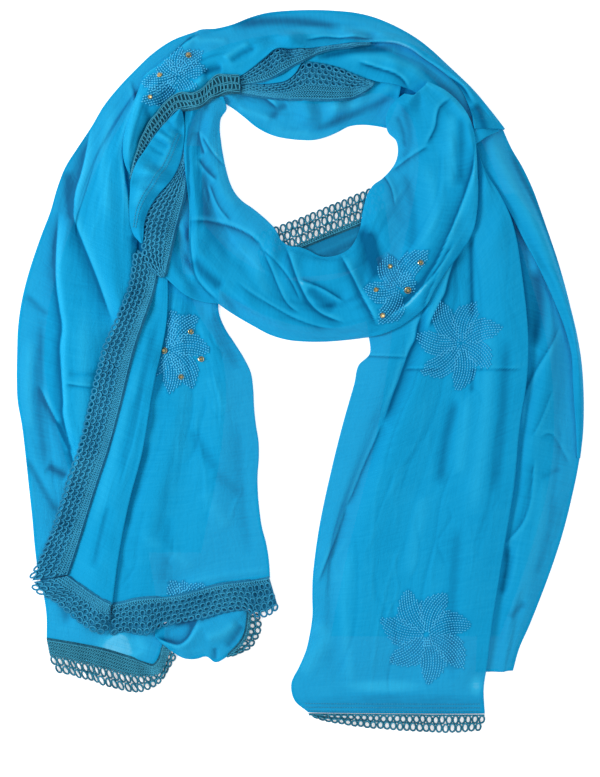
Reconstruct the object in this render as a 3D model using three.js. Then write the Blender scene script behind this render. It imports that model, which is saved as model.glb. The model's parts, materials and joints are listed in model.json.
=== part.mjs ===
// A dupatta stole: one long chiffon scarf with lace edges, wound once round a
// neck opening and lying flat, its two tails side by side.
//
// Millimetres, +Z up. The stole lies on the plane z = 0 with the tails toward -Y.
// Outlines are written on a laying board whose zero is the middle of the collar;
// boardShift moves the board so that the origin is the bottom centre of the box.
//
// Every stretch that shows is one strip of cloth. A strip is given by rails:
// smooth lines that run along its edges, its creases and the crests of its folds.
// Strips are laid in order, from the bottom up, and each rests on what is below.
import * as THREE from 'three';

const clothWall = 1.4;      // thickness of a cloth wall
const laceWall = 1.4;       // thickness of a lace wall
const layerGap = 0.5;       // air between one layer and the next
const seamGap = 0.4;        // between a cloth edge and the lace sewn to it
const coreEdge = 1.5;       // height of a core's rim
const tailCore = 6;         // height of the folded layers inside the tails
const collarCore = 9;       // and inside the collar
const settlingPasses = 24;  // rounds of letting a strip down on the pile
const settlingShare = 0.6;  // how much of its free fall a point takes in a round
const coreFullness = 0.6;   // below 1 a core's back is fuller than a round one
const tiny = 1e-6;          // weights and areas below this count as nothing
const boardShift = [0, -7.5];
const board = { left: -285, right: 285, bottom: -350, top: 365, cell: 1 };

const cloth = new THREE.MeshStandardMaterial({ color: 0x1b9fd8, roughness: 0.75, side: THREE.DoubleSide });
const clothDeep = new THREE.MeshStandardMaterial({ color: 0x0a82bf, roughness: 0.8 });
const lace = new THREE.MeshStandardMaterial({ color: 0x2a7d9e, roughness: 0.85 });

// ---------------------------------------------------------------- outlines
// Lines that two strips share, top to bottom or left to right.

const leftSilhouette = [
  [-100, 331.5], [-128, 320], [-152, 300], [-184, 265], [-200, 239], [-221, 207], [-231, 188], [-233, 175],
  [-250, 128], [-261, 93], [-268, 58], [-269.8, 20], [-269.3, -20], [-264.5, -48], [-261, -80],
  [-255.5, -130], [-251, -176], [-244.5, -206], [-240.5, -240], [-241.5, -248]];
const bandInnerEdge = [
  [168, 226], [171, 205], [181, 188], [200, 158], [212, 135], [232, 97], [248, 60], [258, 30], [261, -12],
  [263.5, -50], [264.5, -75]];
const rightFrontEdge = [
  [166, 243], [168, 225], [173, 203], [192, 170], [203, 143], [211, 95], [216, 45], [215, 0], [208, -45],
  [203, -100], [194, -157], [188, -195], [181, -242], [177, -281], [174.5, -300], [176, -319]];
const leftFrontEdge = [
  [-77, 96], [-77, 60], [-55, 22], [-47, 5], [-43.5, -36], [-39.5, -65], [-41, -100], [-37, -140],
  [-32, -160], [-29, -184], [-29, -189]];
const sideSeam = [
  [-133, 112], [-141, 78], [-157, 30], [-168, -15], [-180, -60], [-195, -105], [-209, -150], [-221, -186]];
const stripEndSeam = [[-221, -186.6], [-205, -198], [-190, -208], [-179, -214]];
const frontEndSeam = [
  [-178.6, -214.8], [-165, -212], [-154, -209.2], [-136, -208], [-118, -207], [-97, -201.6], [-76, -196],
  [-52, -193], [-29, -189.6]];
const underEndSeam = [[-241.5, -248.4], [-208, -253.6], [-188, -257.8], [-160, -266.2], [-138, -273]];
const rightEndSeam = [[8, -318.6], [60, -319], [110, -319.4], [176, -319.6]];
const underFoldSeam = [
  [-108, 222], [-108, 200], [-110, 176], [-117, 148], [-122, 125], [-128, 97]];
const backLaceSeam = [[-38, 112], [-15, 119], [20, 133], [60, 149], [82, 158]];
const neckTopEdge = [
  [-71.5, 263], [-58, 254], [-42, 241], [-25, 232.5], [0, 228.5], [16, 228.8], [32, 234], [49, 242],
    [66, 242.5], [82, 240]];
const cowlNeckEdge = [
  [-73, 268], [-70.5, 257], [-76.5, 247], [-76.5, 235], [-72, 205], [-65, 182], [-57, 171], [-42, 160],
    [-25, 144], [-15, 128.5], [5, 124],
  [18, 117], [33, 117], [48, 125], [57, 143], [60, 160], [67, 181], [80, 192], [91, 206], [93, 225],
  [84, 236], [82, 248], [87, 260], [99, 270]];
const cowlLowerEdge = [
  [-108, 268], [-110, 215], [-105, 160], [-105, 125], [-98, 94], [-77, 71.5], [-50, 54], [-22, 40],
  [8, 35.8], [50, 38], [82, 44], [104, 56], [118, 68], [132, 93], [150, 117], [163, 138], [168, 170],
  [167, 205], [163, 238], [147, 266], [121, 281]];
const collarOuterEdge = [
  [-161, 192], [-167.5, 213], [-164, 241], [-155.5, 266], [-151, 284], [-128, 304], [-112, 319], [-97, 332],
  [-73, 335.5], [-38, 348], [-10, 351.5], [30, 351.5], [62, 347.5], [90, 337], [118, 320], [150, 290],
  [170, 270], [194, 238]];
const collarInnerEdge = [
  [-159, 190], [-156, 208], [-146, 236], [-130, 258], [-118, 270], [-96, 272], [-80, 287.5], [-60, 287],
  [-42, 298], [-22, 313], [0, 313], [30, 317], [68, 320.5], [98, 318], [120, 304], [140, 289.5],
    [153, 276], [161, 259], [165, 237]];

// ------------------------------------------------------------ rails and rows

/** One rail: its line on the board and how far the cloth is lifted along it. */
const rail = (line, lift = 0) => ({ line, lift });

/** The same line moved across the board. */
const moved = (line, dx, dy) => line.map(([x, y]) => [x + dx, y + dy]);

/** Evenly spaced points of the smooth line through a rail's points. */
function railPoints({ line, lift }, rows) {
  const lifts = Array.isArray(lift) ? lift : [lift];
  const points = line.map(([x, y]) => new THREE.Vector3(x, y, 0));
  const curve = new THREE.CatmullRomCurve3(points, false, 'centripetal');
  return curve.getSpacedPoints(rows).map((point, row) => {
    const along = (row / rows) * (lifts.length - 1);
    const low = Math.min(Math.floor(along), Math.max(lifts.length - 2, 0));
    const high = Math.min(low + 1, lifts.length - 1);
    const height = THREE.MathUtils.lerp(lifts[low], lifts[high], along - low);
    return new THREE.Vector3(point.x, point.y, height);
  });
}

/** Grid of points [row][column]: straight across between rails, with soft crests. */
function stripGrid(rails, rows, columns) {
  const lines = rails.map((one) => railPoints(one, rows));
  const grid = [];
  for (let row = 0; row <= rows; row += 1) {
    const across = [lines[0][row].clone()];
    for (let next = 1; next < lines.length; next += 1) {
      const from = lines[next - 1][row];
      const to = lines[next][row];
      const steps = Array.isArray(columns) ? columns[next - 1] : columns;
      for (let step = 1; step <= steps; step += 1) {
        const share = step / steps;
        const soft = (1 - Math.cos(Math.PI * share)) / 2;
        const point = from.clone().lerp(to, share);
        point.z = THREE.MathUtils.lerp(from.z, to.z, soft);
        across.push(point);
      }
    }
    grid.push(across);
  }
  return grid;
}

/** The triangles of a grid, as triples of flat vertex numbers. */
function gridTriangles(rows, columns) {
  const triangles = [];
  for (let row = 0; row < rows; row += 1) {
    for (let column = 0; column < columns; column += 1) {
      const a = row * (columns + 1) + column;
      const b = a + 1;
      const c = a + columns + 1;
      const d = c + 1;
      if ((row + column) % 2) triangles.push([a, c, b], [b, c, d]);
      else triangles.push([a, c, d], [a, d, b]);
    }
  }
  return triangles;
}

// --------------------------------------------------------- the pile so far

const pileWidth = Math.round((board.right - board.left) / board.cell) + 1;
const pileHeight = Math.round((board.top - board.bottom) / board.cell) + 1;
const pile = new Float32Array(pileWidth * pileHeight);

/** Calls visit(cell, wa, wb, wc) for each board cell inside a flat triangle. */
function eachCell(a, b, c, visit) {
  const area = (b.x - a.x) * (c.y - a.y) - (c.x - a.x) * (b.y - a.y);
  if (Math.abs(area) < tiny) return;
  const firstX = Math.ceil((Math.min(a.x, b.x, c.x) - board.left) / board.cell);
  const lastX = Math.floor((Math.max(a.x, b.x, c.x) - board.left) / board.cell);
  const firstY = Math.ceil((Math.min(a.y, b.y, c.y) - board.bottom) / board.cell);
  const lastY = Math.floor((Math.max(a.y, b.y, c.y) - board.bottom) / board.cell);
  for (let iy = firstY; iy <= lastY; iy += 1) {
    for (let ix = firstX; ix <= lastX; ix += 1) {
      const x = board.left + ix * board.cell;
      const y = board.bottom + iy * board.cell;
      const wb = ((x - a.x) * (c.y - a.y) - (c.x - a.x) * (y - a.y)) / area;
      const wc = ((b.x - a.x) * (y - a.y) - (x - a.x) * (b.y - a.y)) / area;
      const wa = 1 - wb - wc;
      if (wa >= -tiny && wb >= -tiny && wc >= -tiny) visit(iy * pileWidth + ix, wa, wb, wc);
    }
  }
}

/** The pile with every cell raised to its highest neighbour. */
function widenedPile() {
  const wide = new Float32Array(pile.length);
  for (let iy = 1; iy < pileHeight - 1; iy += 1) {
    for (let ix = 1; ix < pileWidth - 1; ix += 1) {
      let highest = 0;
      for (let dy = -1; dy <= 1; dy += 1) {
        for (let dx = -1; dx <= 1; dx += 1) {
          highest = Math.max(highest, pile[(iy + dy) * pileWidth + ix + dx]);
        }
      }
      wide[iy * pileWidth + ix] = highest;
    }
  }
  return wide;
}

/** What one triangle must stay above: the weights of its corners at each cell, and the height there. */
function rests(face, wide, wall) {
  const list = [];
  eachCell(...face, (cell, ...weights) => {
    if (wide[cell] > 0) list.push({ weights, height: wide[cell] + layerGap + wall });
  });
  return list;
}

/** Lets a grid of points down on the pile, then adds each point's own lift. */
function layOnPile(grid, wall) {
  const points = grid.flat();
  const lifts = points.map((point) => point.z);
  const wide = widenedPile();
  const faces = gridTriangles(grid.length - 1, grid[0].length - 1).map((three) => {
    const corners = three.map((index) => points[index]);
    return { corners, three, rests: rests(corners, wide, wall) };
  });
  const around = points.map(() => []);
  faces.forEach((face) => face.three.forEach((index, corner) => around[index].push([face, corner])));
  points.forEach((point, index) => {
    const needed = around[index].flatMap(([face]) => face.rests.map((rest) => rest.height));
    point.z = needed.reduce((high, one) => Math.max(high, one), wall);
  });
  for (let pass = 0; pass < settlingPasses; pass += 1) {
    points.forEach((point, index) => {
      let free = point.z - wall;
      for (const [{ corners: [a, b, c], rests: list }, corner] of around[index]) {
        for (const { weights, height } of list) {
          if (weights[corner] < tiny) continue;
          const spare = weights[0] * a.z + weights[1] * b.z + weights[2] * c.z - height;
          free = Math.min(free, Math.max(spare, 0) / weights[corner]);
        }
      }
      point.z -= free * settlingShare;
    });
  }
  points.forEach((point, index) => { point.z += lifts[index]; });
  heap(faces.map((face) => face.corners));
}

/** Raises the pile to the tops of these triangles. */
function heap(faces) {
  for (const [a, b, c] of faces) {
    eachCell(a, b, c, (cell, wa, wb, wc) => {
      pile[cell] = Math.max(pile[cell], wa * a.z + wb * b.z + wc * c.z);
    });
  }
}

// ------------------------------------------------------------ closed solids

/** Closed solid between a grid of points and the bottom that bottomOf gives. */
function solidUnder(grid, bottomOf) {
  const rows = grid.length - 1;
  const columns = grid[0].length - 1;
  const top = grid.flat();
  const count = top.length;
  const positions = [];
  const put = (point, z) => positions.push(point.x + boardShift[0], point.y + boardShift[1], z);
  top.forEach((point) => put(point, point.z));
  top.forEach((point) => put(point, bottomOf(point)));
  const faces = [];
  for (const [a, b, c] of gridTriangles(rows, columns)) {
    faces.push([a, b, c], [a + count, c + count, b + count]);
  }
  const number = (row, column) => row * (columns + 1) + column;
  const rim = [];
  for (let row = 0; row < rows; row += 1) rim.push(number(row, 0));
  for (let column = 0; column < columns; column += 1) rim.push(number(rows, column));
  for (let row = rows; row > 0; row -= 1) rim.push(number(row, columns));
  for (let column = columns; column > 0; column -= 1) rim.push(number(0, column));
  rim.forEach((here, index) => {
    const next = rim[(index + 1) % rim.length];
    faces.push([here, here + count, next + count], [here, next + count, next]);
  });
  const turned = faceUp(top, rows, columns) ? faces : faces.map(([a, b, c]) => [a, c, b]);
  const geometry = new THREE.BufferGeometry();
  geometry.setAttribute('position', new THREE.Float32BufferAttribute(positions, 3));
  geometry.setIndex(turned.flat());
  geometry.computeVertexNormals();
  return geometry;
}

/** Whether the grid's own triangles look up rather than down. */
function faceUp(points, rows, columns) {
  let area = 0;
  for (const [i, j, k] of gridTriangles(rows, columns)) {
    const [a, b, c] = [points[i], points[j], points[k]];
    area += (b.x - a.x) * (c.y - a.y) - (c.x - a.x) * (b.y - a.y);
  }
  return area > 0;
}

const stole = new THREE.Group();
stole.name = 'dupatta_stole';

/** Adds one finished solid to the stole. */
function add(name, geometry, material) {
  const mesh = new THREE.Mesh(geometry, material);
  mesh.name = name;
  stole.add(mesh);
}

/** Lays one strip of cloth or lace on the pile and adds it as a closed wall. */
function strip(name, material, rows, columns, rails) {
  const wall = material === lace ? laceWall : clothWall;
  const grid = stripGrid(rails, rows, columns);
  layOnPile(grid, wall);
  add(name, solidUnder(grid, (point) => point.z - wall), material);
}

/** Hidden folded layers as one rounded solid with a flat underside on z = 0. */
function core(name, rows, columns, outer, inner, heights) {
  const grid = stripGrid([rail(outer, heights), rail(inner, heights)], rows, columns);
  const lay = (point, across) => {
    const round = Math.sin(Math.PI * across) ** coreFullness;
    point.z = coreEdge + (point.z - coreEdge) * round;
  };
  grid.forEach((row) => row.forEach((point, column) => lay(point, column / columns)));
  const points = grid.flat();
  heap(gridTriangles(rows, columns).map((three) => three.map((index) => points[index])));
  add(name, solidUnder(grid, () => 0), clothDeep);
}

// --------------------------------------------- what is hidden in the middle

core('folded_layers_inside', 30, 4,
  [[-195, -165], [-228, -60], [-244, 20], [-232, 100], [-205, 175], [-172, 240], [-125, 290], [-60, 322],
    [20, 328], [95, 308], [150, 262], [185, 200], [215, 110], [238, 20], [240, -80], [218, -170],
      [190, -245]],
  [[-95, -165], [-75, -60], [-74, 20], [-104, 75], [-116, 130], [-112, 200], [-102, 250], [-68, 280],
    [15, 262], [88, 272], [112, 230], [108, 165], [95, 110], [88, 40], [72, -60], [45, -170], [30, -245]],
  [3, tailCore, tailCore, collarCore, collarCore, collarCore, tailCore, tailCore, 3]);
core('cowl_layers_inside', 12, 4,
  [[-92, 148], [-68, 122], [-30, 99], [5, 93], [40, 97], [72, 116]],
  [[-90, 96], [-62, 76], [-25, 58], [10, 50], [50, 52], [86, 66]],
  [6, 9, 9, 6]);

// ------------------------------------------------ back of the neck, far side

strip('neck_back_panel', clothDeep, 8, [2, 2], [
  rail(backLaceSeam, 0),
  rail([[-33, 102], [0, 106], [25, 112], [55, 124], [84, 140]], 3),
  rail([[-28, 94], [0, 98], [25, 100], [55, 106], [86, 124]], 0)]);
strip('neck_back_lace', lace, 10, 2, [
  rail([[-44, 137], [-25, 144.5], [0, 154], [33, 167.5], [66, 181.5], [80, 187]], 0.4),
  rail(moved(backLaceSeam, -0.2, seamGap), 0)]);

// ---------------------------------------------------- outer falls, both sides

strip('outer_left_fall', cloth, 28, [1, 1, 2, 1, 2], [
  rail(leftSilhouette, 0),
  rail([[-108, 322], [-142, 300], [-170, 268], [-205, 212], [-226, 168], [-234, 130], [-235, 95],
    [-230, 52], [-231, 8], [-229, -38], [-217, -76], [-220, -140], [-216, -200], [-208, -253.2]],
  [1, 2, 3, 1, 0, 0, 0, 1, 3, 3]),
  rail([[-111, 317], [-141, 293], [-165, 264], [-194, 216], [-212, 172], [-224, 130], [-226, 95],
    [-221, 52], [-222, 8], [-219, -38], [-209, -76], [-208, -140], [-206, -200], [-198, -254.6]],
  [1, 3, 5, 6, 5, 5, 6, 5, 4, 3]),
  rail([[-115, 310], [-145, 282], [-166, 252], [-192, 205], [-203, 170], [-210, 145], [-196, 102],
    [-180, 56], [-178, 10], [-184, -60], [-190, -140], [-186, -205], [-178, -260]],
  [1, 2, 2, 0, 0, 0, 1, 2, 2, 2]),
  rail([[-118, 304], [-144, 273], [-162, 244], [-178, 205], [-182, 165], [-184, 130], [-178, 90],
    [-170, 56], [-168, 10], [-174, -60], [-176, -140], [-168, -205], [-160, -265.8]],
  [1, 4, 6, 7, 7, 6, 4, 2, 2, 2]),
  rail([[-120, 296], [-141, 264], [-154, 240], [-157, 205], [-155, 150], [-155, 118], [-153, 80],
    [-146, 40], [-146, 0], [-150, -60], [-148, -140], [-138, -205], [-129, -240], [-134, -262],
      [-138, -272.6]],
  [1, 2, 2, 3, 2, 1, 1, 1, 1])]);
strip('left_under_lace', lace, 14, 1, [
  rail([...moved(underEndSeam, 0, -seamGap), [-134, -268], [-131.5, -258], [-128, -249]], 0),
  rail([[-236, -279], [-215, -283], [-190, -290.5], [-172, -296], [-158, -298.5], [-145, -296],
    [-134, -290], [-124, -274], [-115.5, -262]], 0)]);

strip('outer_right_fall', cloth, 20, [2, 1, 2, 1], [
  rail([[192, 176], [196, 120], [200, 60], [200, 0], [195, -60], [186, -110], [178, -160], [171, -215],
    [168, -279]], 1),
  rail([[206, 176], [213, 120], [217, 70], [220, 30], [217, -10], [209, -60], [203, -110], [196, -157],
    [191, -215], [184, -279]], 0),
  rail([[214, 165], [222, 120], [234, 75], [237, 30], [230, -10], [220, -60], [215, -110], [212, -157],
    [203, -215], [193, -279]], [2, 3, 5, 7, 6, 5, 4, 5, 4, 2]),
  rail([[222, 155], [231, 120], [246, 75], [254, 30], [254, -10], [250, -60], [245, -110], [232, -165],
    [214, -225], [199, -278]], [1, 2, 2, 0, 0, 2, 4, 4, 3, 1]),
  rail([[228, 148], [243, 106], [258, 55], [266, 12], [268, -30], [267.5, -68], [261, -104], [251, -145],
    [238, -185], [219, -234], [207, -262], [203, -278]], 0)]);
strip('outer_right_band', cloth, 14, [1, 1], [
  rail([[170, 247], ...bandInnerEdge], [2, 2, 3, 3, 3, 2, 1]),
  rail([[182, 247], [182, 222], [196, 190], [222, 146], [240, 105], [256, 65], [264, 20], [266, -25],
    [266, -52],
    [265.7, -75]], [3, 5, 5, 5, 6, 5, 2, 1]),
  rail([[191, 244], [202, 219], [217, 193], [233, 150], [246, 112], [257, 72], [266, 32], [270, -10],
    [269.5, -52], [266.9, -75]], 0)]);

// -------------------------------------------- turned flap below the left tail

strip('twisted_flap', cloth, 12, [1, 1, 2], [
  rail([[-138, -238], [-118, -228], [-100, -220], [-84, -214], [-66, -209], [-50, -208]], 0),
  rail([[-138, -242], [-124, -245], [-112, -245], [-101, -233], [-84, -224], [-66, -216],
    [-49.5, -212]], 0),
  rail([[-137, -246], [-122, -251], [-106, -248], [-94, -236], [-78, -232], [-64, -226], [-49.2, -216]],
    [2, 4, 6, 6, 4, 2]),
  rail([[-136, -248], [-116, -263.5], [-103, -267.5], [-91, -264], [-81, -270], [-68, -263], [-54, -247],
    [-50, -230], [-49, -220]], [0, 0, 1, 0, 0, 0])]);
strip('twisted_flap_lace', lace, 8, 1, [
  rail([[-69, -264.5], [-60, -256], [-53.4, -247], [-50.4, -238], [-49.4, -230], [-48.4, -220]], 0),
  rail([[-69, -265.2], [-58, -261.5], [-48, -257], [-41, -248], [-37.5, -238], [-38, -229],
    [-41, -220]], 0)]);

// ---------------------------------------------------------------- left tail

strip('left_tail_front', cloth, 18, [1, 1, 2, 2, 2], [
  rail([[-140, 108], [-143, 20], [-156, -55], [-172, -130], [-181, -180], [-184, -213]], 0),
  rail([[-128, 104], [-134, 10], [-148, -62], [-162, -118], [-172, -175], [-176, -214.3]], 0),
  rail([[-112, 100], [-116, 20], [-124, -50], [-138, -118], [-150, -170], [-154, -208.6]],
    [2, 3, 3, 4, 3, 1]),
  rail([[-98, 98], [-98, 20], [-106, -50], [-112, -118], [-116, -170], [-118, -206.5]], [1, 2, 0, 0, 1, 1]),
  rail([[-88, 97], [-80, 20], [-76, -50], [-78, -118], [-78, -170], [-76, -195.5]], [2, 4, 4, 5, 3, 1]),
  rail(leftFrontEdge, [1, 2, 2, 1, 1])]);
strip('left_front_end_lace', lace, 14, 1, [
  rail(moved(frontEndSeam, 0, -seamGap), 0.3),
  rail([[-180, -244], [-165, -240], [-150, -244], [-130, -235.5], [-98, -229], [-70, -221.5], [-50, -220.5],
    [-38, -228], [-20.5, -219]], 0)]);
strip('left_tail_edge_strip', cloth, 18, [1, 1], [
  rail(sideSeam, 0.3),
  rail([[-129, 112], [-133, 78], [-141, 30], [-152, -15], [-163, -60], [-176, -105], [-188, -150],
    [-199, -200.5]],
    [2, 3, 3, 4, 4, 3]),
  rail([[-126, 112], [-127, 55], [-139, -5], [-150, -70], [-162, -115], [-172, -165], [-178.8, -214]], 2)]);
strip('left_side_lace', lace, 20, 1, [
  rail([[-157, 124], [-162, 90], [-172, 62], [-187, 28], [-198, -15], [-210, -65], [-221, -95],
    [-235, -140],
    [-251, -176], [-260, -193]], 0),
  rail(moved(sideSeam, -seamGap, 0), 0.3)]);
strip('left_strip_end_lace', lace, 6, 1, [
  rail(moved(stripEndSeam, 0, -seamGap - 0.2), 0.3),
  rail([[-260, -194.2], [-252, -202], [-238, -209], [-212, -230], [-198, -239], [-183, -244]], 0)]);

// --------------------------------------------------------------- right tail

strip('right_tail_front', cloth, 24, [1, 1, 1, 1, 1, 1, 1], [
  rail([[60, 76], [66, 40], [66, 22], [58.5, 18], [52, -5], [42, -40], [33, -75], [18.5, -142], [12, -195],
    [12, -226], [5, -262], [-8, -291], [-8, -302], [8, -318]], [2, 2, 2, 2, 1, 1, 0, 0]),
  rail([[82, 84], [86, 36], [78, 0], [62, -48], [44, -100], [28, -160], [22, -225], [20, -280],
    [28, -318.2]],
    [2, 4, 5, 5, 4, 3, 2, 1]),
  rail([[110, 96], [111, 46], [96, 2], [79, -42], [58, -92], [36, -148], [32, -215], [38, -280],
    [50, -318.4]],
    [0, 0, 0, 0, 0, 0, 1, 1]),
  rail([[122, 112], [122, 52], [112, 2], [96, -42], [78, -92], [62, -148], [58, -215], [64, -280],
    [76, -318.6]],
    [3, 6, 7, 7, 6, 4, 3, 1]),
  rail([[142, 150], [144, 88], [139, 20], [130, -42], [114, -100], [98, -160], [96, -225], [98, -280],
    [103, -318.8]],
    [2, 3, 2, 1, 2, 2, 1, 1]),
  rail([[150, 190], [160, 120], [163, 70], [164, 10], [156, -60], [142, -120], [130, -180], [126, -240],
    [128, -319]],
    [1, 0, 1, 4, 4, 4, 3, 1]),
  rail([[160, 225], [182, 160], [190, 90], [191, 20], [184, -50], [174, -120], [162, -190], [155, -250],
    [153, -319]],
    [3, 5, 5, 5, 5, 4, 3, 1]),
  rail(rightFrontEdge, [1, 2, 2, 2, 2, 1, 1, 0])]);
strip('right_tail_end_lace', lace, 12, 1, [
  rail(moved(rightEndSeam, 0, -seamGap), 0),
  rail([[9, -320.6], [20, -325], [40, -329], [80, -334], [140, -336.5], [176, -334.5]], 0)]);

// ------------------------------------------------------ back of the neck

strip('back_neck_inner_band', cloth, 14, [1, 1, 1], [
  rail([[-94, 278], [-64, 282], [-38, 279], [0, 276], [36, 276], [60, 281], [80, 288], [96, 290]], 0),
  rail([[-84, 272], [-62, 270], [-36, 260], [-4, 252], [26, 252], [52, 264], [76, 276], [96, 282]],
    [2, 3, 4, 5, 5, 4, 2]),
  rail([[-78, 268], [-61, 262], [-40, 250], [-10, 242], [22, 240], [48, 251], [72, 257], [92, 262]],
    [1, 1, 1, 2, 2, 1, 1]),
  rail(neckTopEdge, 1)]);
strip('nape_shoulder_band', cloth, 18, [1, 1, 1], [
  rail([[0, 301], [22, 312], [60, 321.5], [100, 322], [124, 308], [158, 282], [182, 254], [189, 236]],
    [0, 0, 0, 0, 1, 1]),
  rail([[1, 300.4], [28, 307], [64, 312], [100, 308], [128, 292], [152, 270], [168, 250], [177, 230]],
    [1, 4, 6, 6, 5, 3]),
  rail([[2, 300], [32, 302], [64, 300], [98, 294], [122, 280], [142, 262], [156, 243], [168, 224]],
    [1, 3, 4, 2, 2, 2]),
  rail([[3, 299.4], [32, 297], [58, 285.8], [80, 281], [102, 276], [126, 262], [142, 244], [158, 218]],
    [1, 2, 2, 1, 1, 1])]);
strip('nape_lower_lace', lace, 12, 1, [
  rail([[-56, 279.6], [-25, 280.7], [-8, 285.6], [2, 298.6], [30, 296.4], [58, 285.2], [71, 281]], 0),
  rail([[-56, 272.5], [-40, 270], [-20, 267], [10, 266], [40, 266], [56, 270], [70, 279.6]], 0)]);
strip('nape_wedge', cloth, 5, 1, [
  rail([[-43.5, 281.4], [-30, 284.6], [-15, 292.5], [-3, 298.6], [2, 301.4]], 0.5),
  rail([[-43.5, 280.8], [-25, 281.3], [-15, 283.2], [-8, 286.4], [1.2, 299.4]], 0.5)]);
strip('nape_upper_lace', lace, 12, 1, [
  rail([[-57.4, 287.6], [-42, 297.6], [-22, 312.6], [0, 312.6], [30, 316.6], [68, 320]], 0),
  rail([[-56.6, 280], [-44, 282], [-30, 285.2], [-15, 293], [2, 302], [22, 311.6], [67, 318]], 0)]);

// ---------------------------------------------------------------- the cowl

strip('cowl_under_fold', cloth, 12, [1, 1, 1], [
  rail(underFoldSeam, 0.3),
  rail([[-106, 222], [-105, 190], [-106, 160], [-111, 130], [-111, 105], [-110, 81]], [1, 2, 3, 4, 3, 1]),
  rail([[-102, 222], [-101, 190], [-101, 160], [-103, 130], [-100, 100], [-94, 74]], [1, 2, 3, 3, 3, 1]),
  rail([[-96, 222], [-94, 190], [-93, 160], [-92, 130], [-88, 105], [-77, 72]], 1)]);
strip('cowl_under_lace', lace, 10, 1, [
  rail([[-110, 222], [-116, 202], [-126, 184], [-140, 168], [-149, 148], [-149.5, 122], [-143, 106],
    [-131, 96]], 0),
  rail(moved(underFoldSeam, -seamGap, 0), 0.3)]);
strip('cowl', cloth, 38, [1, 1, 2, 1, 1, 1], [
  rail(cowlNeckEdge, [1, 2, 2, 2, 1, 1, 2, 2, 3]),
  rail([[-82, 268], [-86, 215], [-76, 178], [-58, 155], [-34, 132], [-16, 115], [8, 108], [38, 108],
    [62, 126],
    [74, 158], [94, 190], [103, 218], [98, 240], [98, 254], [107, 268]], [4, 6, 6, 6, 6, 5, 5, 7, 8]),
  rail([[-90, 268], [-95, 215], [-88, 172], [-74, 140], [-50, 112], [-28, 92], [2, 76], [36, 76], [66, 96],
    [86, 134], [108, 175], [118, 210], [114, 240], [112, 272]], [1, 0, 0, 1, 1, 0, 1, 4, 3]),
  rail([[-97, 268], [-103, 215], [-98, 160], [-96, 126], [-80, 96], [-50, 72], [-14, 52], [28, 48],
    [64, 58],
    [94, 84], [118, 126], [136, 170], [144, 212], [134, 250], [117, 276]], [2, 3, 5, 8, 8, 6, 4, 4, 3]),
  rail([[-100, 268], [-106, 215], [-101, 160], [-100, 124], [-88, 92], [-55, 66], [-14, 46], [28, 42.5],
    [68, 49],
    [101, 72], [128, 113], [150, 162], [160, 206], [146, 250], [119, 278]], [2, 2, 4, 6, 6, 5, 3, 2, 2]),
  rail([[-103, 268], [-108, 215], [-103, 160], [-102, 124], [-93, 92], [-64, 67], [-18, 43], [28, 39],
    [72, 45],
    [106, 64], [134, 104], [157, 150], [164, 205], [150, 256], [120, 279.5]], [1, 1, 2, 3, 3, 3, 2, 3, 2]),
  rail(cowlLowerEdge, 1)]);

// ----------------------------------------------- collar and left shoulder

strip('collar_outer_band', cloth, 30, [2, 2], [
  rail(collarOuterEdge, [1, 1, 1, 0, 0, 0, 0, 0, 1]),
  rail([[-160.2, 191], [-162, 213], [-155, 243], [-141, 275], [-118, 297], [-92, 311], [-40, 328],
    [10, 334],
    [62, 332], [98, 327], [119, 312], [145, 289.6], [160, 274.5], [174, 257], [180, 237.5]],
  [1, 4, 6, 5, 3, 4, 4, 3, 2, 2, 1]),
  rail(collarInnerEdge, [0, 0, 0, 1, 1, 1, 1, 0])]);
strip('shoulder_edge_lace', lace, 16, 1, [
  rail([[-161, 189.4], [-157, 207], [-147, 236.6], [-131, 259], [-118, 270.6], [-96, 272.6], [-80, 288],
    [-58, 288]], 0),
  rail([[-159.6, 189], [-150, 210], [-130, 240.4], [-115, 255.4], [-100, 257], [-84, 266.6], [-70, 272],
    [-57, 272.6]], 0)]);
strip('left_shoulder_leaf', cloth, 14, [1, 1], [
  rail([[-114, 255.4], [-130, 239.8], [-145, 219], [-154, 204], [-159.6, 188], [-161, 150], [-158, 138],
    [-151, 129]],
    [1, 1, 0, 0]),
  rail([[-113, 254.8], [-122, 232], [-132, 211], [-142, 190], [-150, 168], [-153, 148], [-153, 138],
    [-150, 129]],
    [1, 4, 5, 4, 2, 1]),
  rail([[-112, 254], [-110, 240], [-113, 212], [-121, 192], [-139, 170], [-148, 150], [-148.6, 138],
    [-149, 129]],
    [0, 1, 1, 0])]);

export default stole;
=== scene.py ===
# %% [markdown]
# # A dupatta stole, lying flat
# The real thing is one long panel of turquoise chiffon, about 0.7 by 2.1 metres, with crochet
# lace sewn round its edge and flowers embroidered in its own colour. It is wound once round a
# neck and then laid down. Every stretch of cloth that shows already exists as a plain closed
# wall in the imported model. This lesson lays a thin, creased sheet on each of those walls, works
# the lace and the stitches as real threads, sets the stones, and gives each of them the finish
# of what it is made of.

# %% Load the frame
import json
import math
import bpy
import numpy as np
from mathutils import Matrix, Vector
from mathutils.bvhtree import BVHTree


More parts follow.
